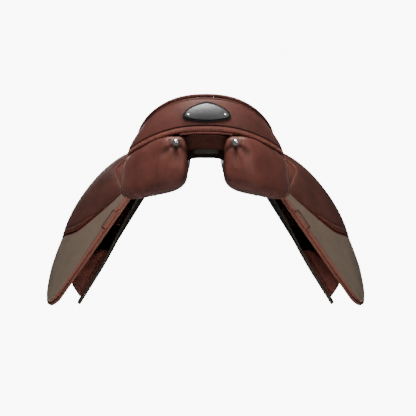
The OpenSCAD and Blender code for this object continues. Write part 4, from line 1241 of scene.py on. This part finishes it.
@dataclass(frozen=True)
class Flaps(Assembly):
    """The flaps, each with its grained cover and knee patch, and the skirt over the stirrup bar.

    Args:
        ridges: Distances of the border's ridges from the flap's rear edge.
        bound: Width of the smooth leather behind the grain, by distance down the flap.
        rolls: Where its raised lines run, as shares of that width.
        crown: How full the knee patch is.
        fold: Distance of the fold from the knee patch's lower edge.
    """

    ridges: tuple[float, ...] = (2.6, 5.4, 8.2)
    bound: tuple = ((100, 66), (147, 76), (181, 82), (221, 84), (257, 78), (294, 68), (340, 46))
    rolls: tuple[float, ...] = (0.12, 0.5, 0.9)
    crown: float = 6.0
    fold: float = 9.5

    def base(self) -> Cut:
        """The flap's leather."""
        half = self.form.flap_t / 2
        return Cut((
            ((-23, 1), (0, 1), (22, 1), (34, 40), (56, 78), (94, 90), (128, 76), (146, 30), (160, 1), (190, 1)),
            ((-12, 330), (40, 364), (90, 379), (140, 378), (178, 360)),
            ((-23, 1), (-29, 32), (-42, 64), (-58, 94), (-70, 130), (-69, 182), (-58, 240), (-40, 288), (-12, 330)),
            ((190, 1), (218, 18), (246, 50), (270, 95), (284, 145), (288, 195), (280, 245), (256, 295), (222, 336),
             (178, 360)),
        ), self.form.flap_mid, -half, half)

    def grip(self) -> Cut:
        """The grained cover sewn on the flap."""
        low = self.form.grip_n
        return Cut((
            ((-50, 102), (-10, 102), (44, 102)),
            ((-11, 325), (40, 359), (90, 374.5), (140, 373), (182, 354), (218, 330), (242, 309)),
            ((-50, 102), (-59, 135), (-57, 182), (-47, 236), (-32, 284), (-11, 325)),
            ((44, 102), (60, 150), (80, 196), (108, 243), (150, 273), (200, 296), (242, 309)),
        ), self.form.flap_mid, low, low + self.form.grip_t)

    def pad(self) -> Cut:
        """The padded knee patch."""
        low = self.form.grip_n
        return Cut((
            ((54, 110), (102, 112), (156, 106), (168, 60), (178, 12)),
            ((84, 192), (112, 238), (152, 268), (200, 290), (244, 303)),
            ((54, 110), (67, 150), (84, 192)),
            ((178, 12), (212, 26), (242, 60), (264, 105), (277, 155), (280, 205), (272, 256), (244, 303)),
        ), self.form.flap_mid, low, low + 0.8, self.crown)

    def skirt(self) -> Cut:
        """The skirt over the stirrup bar."""
        f = self.form
        hinge = f.waist_half + f.pipe_r + f.clear

        def start(y: float) -> float:
            gap = (float(f.seat_w(np.array(y))) + f.pipe_r + 1 - hinge) / math.cos(f.flap_slope)
            return max(6 + 6 * float(ease((y - 100) / 50)), gap)

        top = tuple((y, start(y)) for y in np.linspace(-22, 150, 7))
        low = f.grip_n + f.grip_t + 2 * f.clear
        return Cut((top, ((-2, 92), (40, 102), (80, 103), (118, 98), (142, 84)),
                    (top[0], (-27, 44), (-20, 72), (-2, 92)), (top[-1], (154, 34), (153, 60), (142, 84))),
                   f.flap_mid, low, low + 3.6)

    def rear_ridges(self, reach: Array, spot: Array) -> tuple[Array, Array, Array]:
        """The border strip behind the grained cover: its ridges, a painted highlight on the middle ridge and painted
        shade between them.
        """
        d = reach[REAR]
        on = ease((spot[:, 1] - 96) / 16)
        line = sum(groove(d, at, 2.2) for at in self.ridges)
        between = sum(groove(d, at + 1.4, 1.2) for at in self.ridges)
        # A painted highlight on the middle ridge and painted shade between the ridges.
        return 0.7 * on * line * ease(d / 1.2), 0.5 * on * groove(d, self.ridges[1], 1.8), 0.6 * on * between

    def binding(self, reach: Array, spot: Array) -> tuple[Array, Array, Array]:
        """The smooth, ridged leather along the grained cover's rear side, in its own colour, with painted shade between
        its rolls and beside its inner edge.
        """
        d, wide = reach[REAR], curve(self.bound, spot[:, 1])
        on = 1 - ease((d - wide) / 2.0)
        lines = sum(groove(d, at * wide, 9.0) for at in self.rolls)
        gaps = sum(groove(d, at * wide + 7.0, 6.0) for at in self.rolls)
        # Painted shade between the rolls and beside the border's inner edge.
        return on * (0.4 + 1.7 * lines), on, np.maximum(0.75 * on * gaps, 0.8 * groove(d, wide + 2.0, 5.0))

    def lower_seam(self, reach: Array, spot: Array) -> tuple[Array, Array, Array]:
        """The fold along the knee patch's lower edge, darkened with painted shade, and its lighter thin front tip."""
        tip = 1 - ease((np.minimum(reach[FRONT], 40) - 1) / 5)
        # Painted shade in the fold; the front tip is lighter.
        return -0.9 * groove(reach[LOW], self.fold, 5.0), 0.35 * tip, 0.35 * groove(reach[LOW], self.fold, 2.2)

    def build(self) -> None:
        """Both sides."""
        kit, base, grip, pad, skirt = self.kit, self.base(), self.grip(), self.pad(), self.skirt()
        kit.pair(base.piece("flap_leather_right", 120, 130, 0.9, self.rear_ridges), "flap", Slot.FLAP, replaces="flap")
        kit.pair(grip.piece("grained_cover_right", 150, 110, 0.4, self.binding), "flap", Slot.GRAINED,
                 replaces="flap_grip")
        kit.pair(pad.piece("knee_patch_right", 90, 90, 0.4, self.lower_seam), "flap", Slot.KNEE, replaces="knee_pad",
                 fill=0.8, angle=60)
        kit.pair(skirt.piece("skirt_leather_right", 70, 60, 0.9), "skirt", Slot.FLAP, replaces="skirt")
        t = np.linspace(0.01, 0.99, 200)
        seam = pad.seam("knee_seam_right", t, 0 * t + 1, pad.high + 0.5, (1.3, 1.1))
        kit.pair(seam, "flap", Slot.KNEE, SEAM)
        for name, cut, side, inset, span, thread, body in (
            ("knee_stitches", pad, LOW, 4.6, (0.02, 0.98), THREAD, "flap"),
            ("cover_stitches_rear", grip, REAR, 6.0, (0.01, 0.99), PALE_THREAD, "flap"),
            ("cover_stitches_low", grip, LOW, 3.0, (0.01, 0.99), PALE_THREAD, "flap"),
            ("flap_stitches_front", base, FRONT, 4.0, (0.04, 0.97), THREAD, "flap"),
            ("flap_stitches_low", base, LOW, 4.0, (0.02, 0.98), THREAD, "flap"),
            ("skirt_stitches_low", skirt, LOW, 4.0, (0.03, 0.97), SEAM, "skirt"),
            ("skirt_stitches_rear", skirt, REAR, 4.0, (0.05, 0.98), SEAM, "skirt"),
            ("skirt_stitches_front", skirt, FRONT, 4.0, (0.05, 0.98), SEAM, "skirt"),
        ):
            kit.pair(Bench.stitches(f"{name}_right", *cut.border(side, inset, span)), body, Slot.FLAP, thread)


@dataclass(frozen=True)
class SweatFlaps(Assembly):
    """The inner flaps with their fastening fabric and blocks.

    Args:
        knee_h: Height of the knee block.
        calf_h: Height of the calf block.
        belly_h: How much fuller the calf block's lower half is.
    """

    knee_h: float = 26.0
    calf_h: float = 13.0
    belly_h: float = 10.0

    @staticmethod
    def tip(reach: Array, spot: Array) -> tuple[Array, Array, Array]:
        """The grey lower border of the inner flap."""
        low = 1 - ease((reach[LOW] - 16) / 6)
        return 0.3 * groove(reach[LOW], 18, 4), low, 0 * low

    def belly(self, reach: Array, spot: Array) -> tuple[Array, Array, Array]:
        """The calf block's fuller lower half."""
        rise = self.belly_h * ease((spot[:, 1] - 200) / 36) * ease(reach.min(0) / 11)
        return rise, 0 * rise, 0 * rise

    def build(self) -> None:
        """Both sides."""
        f, kit, half = self.form, self.kit, self.form.sweat_t / 2
        flap = Cut((
            ((-36, 6), (40, 6), (120, 6), (188, 6)), ((6, 306), (50, 316), (100, 316), (140, 300)),
            ((-36, 6), (-46, 60), (-50, 120), (-44, 180), (-28, 240), (6, 306)),
            ((188, 6), (214, 50), (228, 110), (222, 170), (196, 240), (140, 300))), f.sweat_mid, -half, half)
        under = half + 2.2 * f.soft_lay
        fabric = Cut((((152, 50), (206, 46)), ((130, 246), (184, 226)), ((152, 50), (138, 140), (130, 246)),
                      ((206, 46), (216, 120), (184, 226))), f.sweat_mid, under, under + 1.5)
        knee = Cut((((160, 62), (200, 58)), ((146, 216), (178, 208)), ((160, 62), (150, 136), (146, 216)),
                    ((200, 58), (208, 126), (178, 208))),
                   f.sweat_mid, fabric.high + f.soft_lay, fabric.high + 3, self.knee_h - 3, 3.0)
        low = half + f.clear
        calf = Cut((((-32, 196), (18, 206)), ((4, 292), (29, 300)), ((-32, 196), (-20, 246), (4, 292)),
                    ((18, 206), (26, 252), (29, 300))), f.sweat_mid, low, low + 6, self.calf_h + f.sweat_bend - 4, 4.5)
        kit.pair(flap.piece("sweat_leather_right", 90, 100, 0.8, self.tip), "saddle", Slot.SWEAT,
                 replaces="sweat_flap")
        kit.pair(fabric.piece("fastening_fabric_right", 40, 90, 0.3), "saddle", Slot.FABRIC, replaces="block_fabric")
        kit.pair(knee.piece("knee_bolster_right", 50, 90, 0.5), "saddle", Slot.FABRIC, Slot.SWEAT.finish,
                 "knee_block", fill=0.9, angle=60)
        kit.pair(calf.piece("calf_bolster_right", 50, 70, 0.5, self.belly), "saddle", Slot.CALF, replaces="calf_block",
                 fill=0.8, angle=60)
        t = np.linspace(0.02, 0.98, 120)
        for name, u, v in (("rear", 0 * t, t), ("low", t, 0 * t + 1)):
            seam = calf.seam(f"calf_seam_{name}_right", u, v, calf.high - 0.2, (1.2, 1.2))
            kit.pair(seam, "saddle", Slot.CALF, SEAM)
        for name, side in (("low", LOW), ("rear", REAR), ("front", FRONT)):
            row = Bench.stitches(f"sweat_stitches_{name}_right", *flap.border(side, 4.0, (0.02, 0.98)))
            kit.pair(row, "saddle", Slot.SWEAT, THREAD)


@dataclass(frozen=True)
class Girthing(Assembly):
    """The stitches of girth straps and buckle guards.

    Args:
        first: y of the rear strap's middle.
        pitch: Distance between straps.
        width: Width of a strap.
        top: s of the straps' upper end.
        length: Their length.
        thick: Their thickness.
        web: Thickness of a web, and of the guard's leather.
        gap: Distance between a strap and what lies on or under it.
        guard: Upper end and length of the buckle guard.
    """

    first: float = 46.0
    pitch: float = 32.0
    width: float = 25.0
    top: float = 52.4
    length: float = 235.0
    thick: float = 3.5
    web: float = 1.2
    gap: float = 0.35
    guard: tuple[float, float] = (72.0, 70.0)

    def row(self, name: str, y: float, span: tuple[float, float], n: float, **look: float) -> Obj:
        """Stitches in a straight line down the inner flap, at height n."""
        x, z = self.form.sweat(np.linspace(*span, 40), n)
        c, k = math.cos(self.form.sweat_slope), math.sin(self.form.sweat_slope)
        return Bench.stitches(name, stack(x, y, z), np.tile([k, 0.0, c], (40, 1)), proud=0.05, **look)

    def build(self) -> None:
        """Both rows of each strap, and the guard's."""
        strap_n = self.form.sweat_t / 2 + self.form.clear + self.web + self.gap + 0.1 + self.thick
        guard_n = strap_n + self.gap + 2 * self.web
        half, last = self.width / 2, self.first + 2 * self.pitch
        for i in range(3):
            mid = self.first + self.pitch * i
            for off, edge in ((2.6 - half, "rear"), (half - 2.6, "front")):
                row = self.row(f"strap_stitches_{i + 1}_{edge}_right", mid + off,
                               (self.top + 4, self.top + self.length - 20), strap_n, pitch=3.6, length=2.4, width=0.35)
                self.kit.pair(row, "girth_straps", Slot.STRAP, THREAD)
        for y, edge in ((self.first - half - 1, "rear"), (last + half + 1, "front")):
            row = self.row(f"guard_stitches_{edge}_right", y, (self.guard[0] + 4, sum(self.guard) - 4), guard_n)
            self.kit.pair(row, "buckle_guard", Slot.GUARD, THREAD)


@dataclass(frozen=True)
class CadPieces(Assembly):
    """The CAD's own solids that show or lie inside: tree, canvas, keepers, straps, guards and metal."""

    def build(self) -> None:
        """Gives each its finish and rounded edges."""
        for slot, bevel, names in (
            (Slot.CANVAS, 0.0, ("seat_canvas",)), (Slot.CANVAS, 0.3, ("billet_webs_left", "billet_webs_right")),
            (Slot.WOOD, 0.8, ("tree_frame", "tree_head")), (Slot.SPRING, 0.4, ("gullet_plate",)),
            (Slot.SPRING, 0.2, ("spring_steels",)), (Slot.PANEL, 0.7, ("head_facing",)),
            (Slot.SWEAT, 0.6, ("point_pockets",)), (Slot.KEEPER, 0.6, ("leather_keeper_left", "leather_keeper_right")),
            (Slot.KEEPER, 0.4, ("girth_keeper_left", "girth_keeper_right")),
            (Slot.STRAP, 0.6, ("billets_left", "billets_right")),
            (Slot.GUARD, 1.0, ("buckle_guard_left", "buckle_guard_right")),
            (Slot.BAR, 0.5, ("stirrup_bar_left", "stirrup_bar_right")),
            (Slot.BAR, 0.4, ("bar_catch_left", "bar_catch_right")), (Slot.BAR, 0.2, ("bar_rivets",)),
            (Slot.BRIGHT, 0.4, ("dee_staples",)),
            (Slot.BRIGHT, 0.0, ("badge_rivets", "panel_nails", "pommel_nails", "dee_ring_left", "dee_ring_right")),
        ):
            for name in names:
                self.kit.node(name, slot, bevel)


@dataclass(frozen=True)
class Studio:
    """Camera, pale backdrop and soft lights.

    Args:
        focal_px: The camera's focal length in pixels of the photograph.
        distance: From the camera to the origin, in metres.
        height: The camera's height.
        middle_px: Where the saddle's midline falls in the photograph.
        photo_px: The photograph's width.
        floor_z: Height of the floor.
    """

    focal_px: float = 1310.0
    distance: float = 2.435
    height: float = -0.015
    middle_px: float = 205.6
    photo_px: float = 416.0
    floor_z: float = -0.62

    def camera(self) -> None:
        """The photograph's level view from behind."""
        data = bpy.data.cameras.new("camera")
        data.sensor_width = 36.0
        data.lens = self.focal_px * data.sensor_width / self.photo_px
        data.shift_x = (self.photo_px / 2 - self.middle_px) / self.photo_px
        obj = Bench.link("camera", data)
        obj.location = (0.0, -self.distance, self.height)
        obj.rotation_euler = (math.radians(90), 0.0, 0.0)
        bpy.context.scene.camera = obj

    def backdrop(self) -> None:
        """A pale cove all round that throws no light, and a floor well below."""
        cove = Bench.primitive("cove", bpy.ops.mesh.primitive_uv_sphere_add, segments=48, ring_count=24, radius=6.0)
        cove.visible_diffuse = cove.visible_glossy = cove.visible_shadow = False
        floor = Bench.primitive("floor", bpy.ops.mesh.primitive_circle_add, vertices=96, radius=1.3,
                                location=(0, 0, self.floor_z), fill_type="NGON")
        floor.visible_glossy = False
        for obj, shade, glow in ((cove, 0.9, 9.0), (floor, 0.86, 0.0)):
            paint = Finish(f"{obj.name}_paint", (shade,) * 3, (shade - 0.02,) * 3, Grain.PLAIN, 20.0, 0.1, (0.8, 0.05),
                           glow=glow)
            obj.data.materials.append(paint.material())
        Kit.smooth(cove)
        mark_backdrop(cove, floor)

    def lights(self) -> None:
        """A large soft light over the camera, one at its side, one on top, and one from the front."""
        for name, place, aim, size, power in (
            ("key", (-0.5, -1.8, 2.5), (0, 0, 0.05), 1.2, 130.0),
            ("fill", (1.6, -2.2, 0.7), (0, 0, 0.0), 1.2, 12.0),
            ("top", (0.1, -0.8, 2.4), (0, 0, 0.0), 1.4, 90.0),
            ("front", (-0.4, 2.8, 1.1), (0, 0, -0.05), 1.6, 36.0),
        ):
            data = bpy.data.lights.new(name, "AREA")
            data.size, data.energy = size, power
            obj = Bench.link(name, data)
            obj.location = place
            obj.rotation_euler = Vector(np.array(aim) - np.array(place)).to_track_quat("-Z", "Y").to_euler()
        world = bpy.data.worlds.new("studio")
        world.use_nodes = True
        shade = world.node_tree.nodes["Background"]
        shade.inputs["Color"].default_value = WHITE
        shade.inputs["Strength"].default_value = 0.16
        bpy.context.scene.world = world

    def build(self) -> None:
        """Sets up the studio."""
        self.camera()
        self.backdrop()
        self.lights()


def bounds_of(objects: Sequence[Obj]) -> list[list[float]]:
    """Lowest and highest corner of what is shown, in metres."""
    points = []
    graph = bpy.context.evaluated_depsgraph_get()
    for obj in objects:
        mesh = obj.evaluated_get(graph).to_mesh()
        co = np.empty(len(mesh.vertices) * 3, np.float32)
        mesh.vertices.foreach_get("co", co)
        world = np.array(obj.matrix_world)
        points.append(co.reshape(-1, 3) @ world[:3, :3].T + world[:3, 3])
        obj.evaluated_get(graph).to_mesh_clear()
    everything = np.concatenate(points)
    return [[float(c) for c in everything.min(0)], [float(c) for c in everything.max(0)]]


def main() -> None:
    """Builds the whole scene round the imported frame."""
    logging.basicConfig(level=logging.INFO, format="%(message)s")
    for obj in list(bpy.data.objects):
        bpy.data.objects.remove(obj)
    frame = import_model()
    cad = [[float(c) for c in corner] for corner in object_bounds()]
    form, kit = Form(), Kit(frame)
    Studio().build()
    for part in (Seat, Cantle, Panels, Flaps, SweatFlaps, Girthing, CadPieces):
        part(form, kit).build()
    bpy.context.view_layer.update()
    {"cad": cad, "visual": bounds_of(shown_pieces())}


if __name__ == "__main__":
    main()
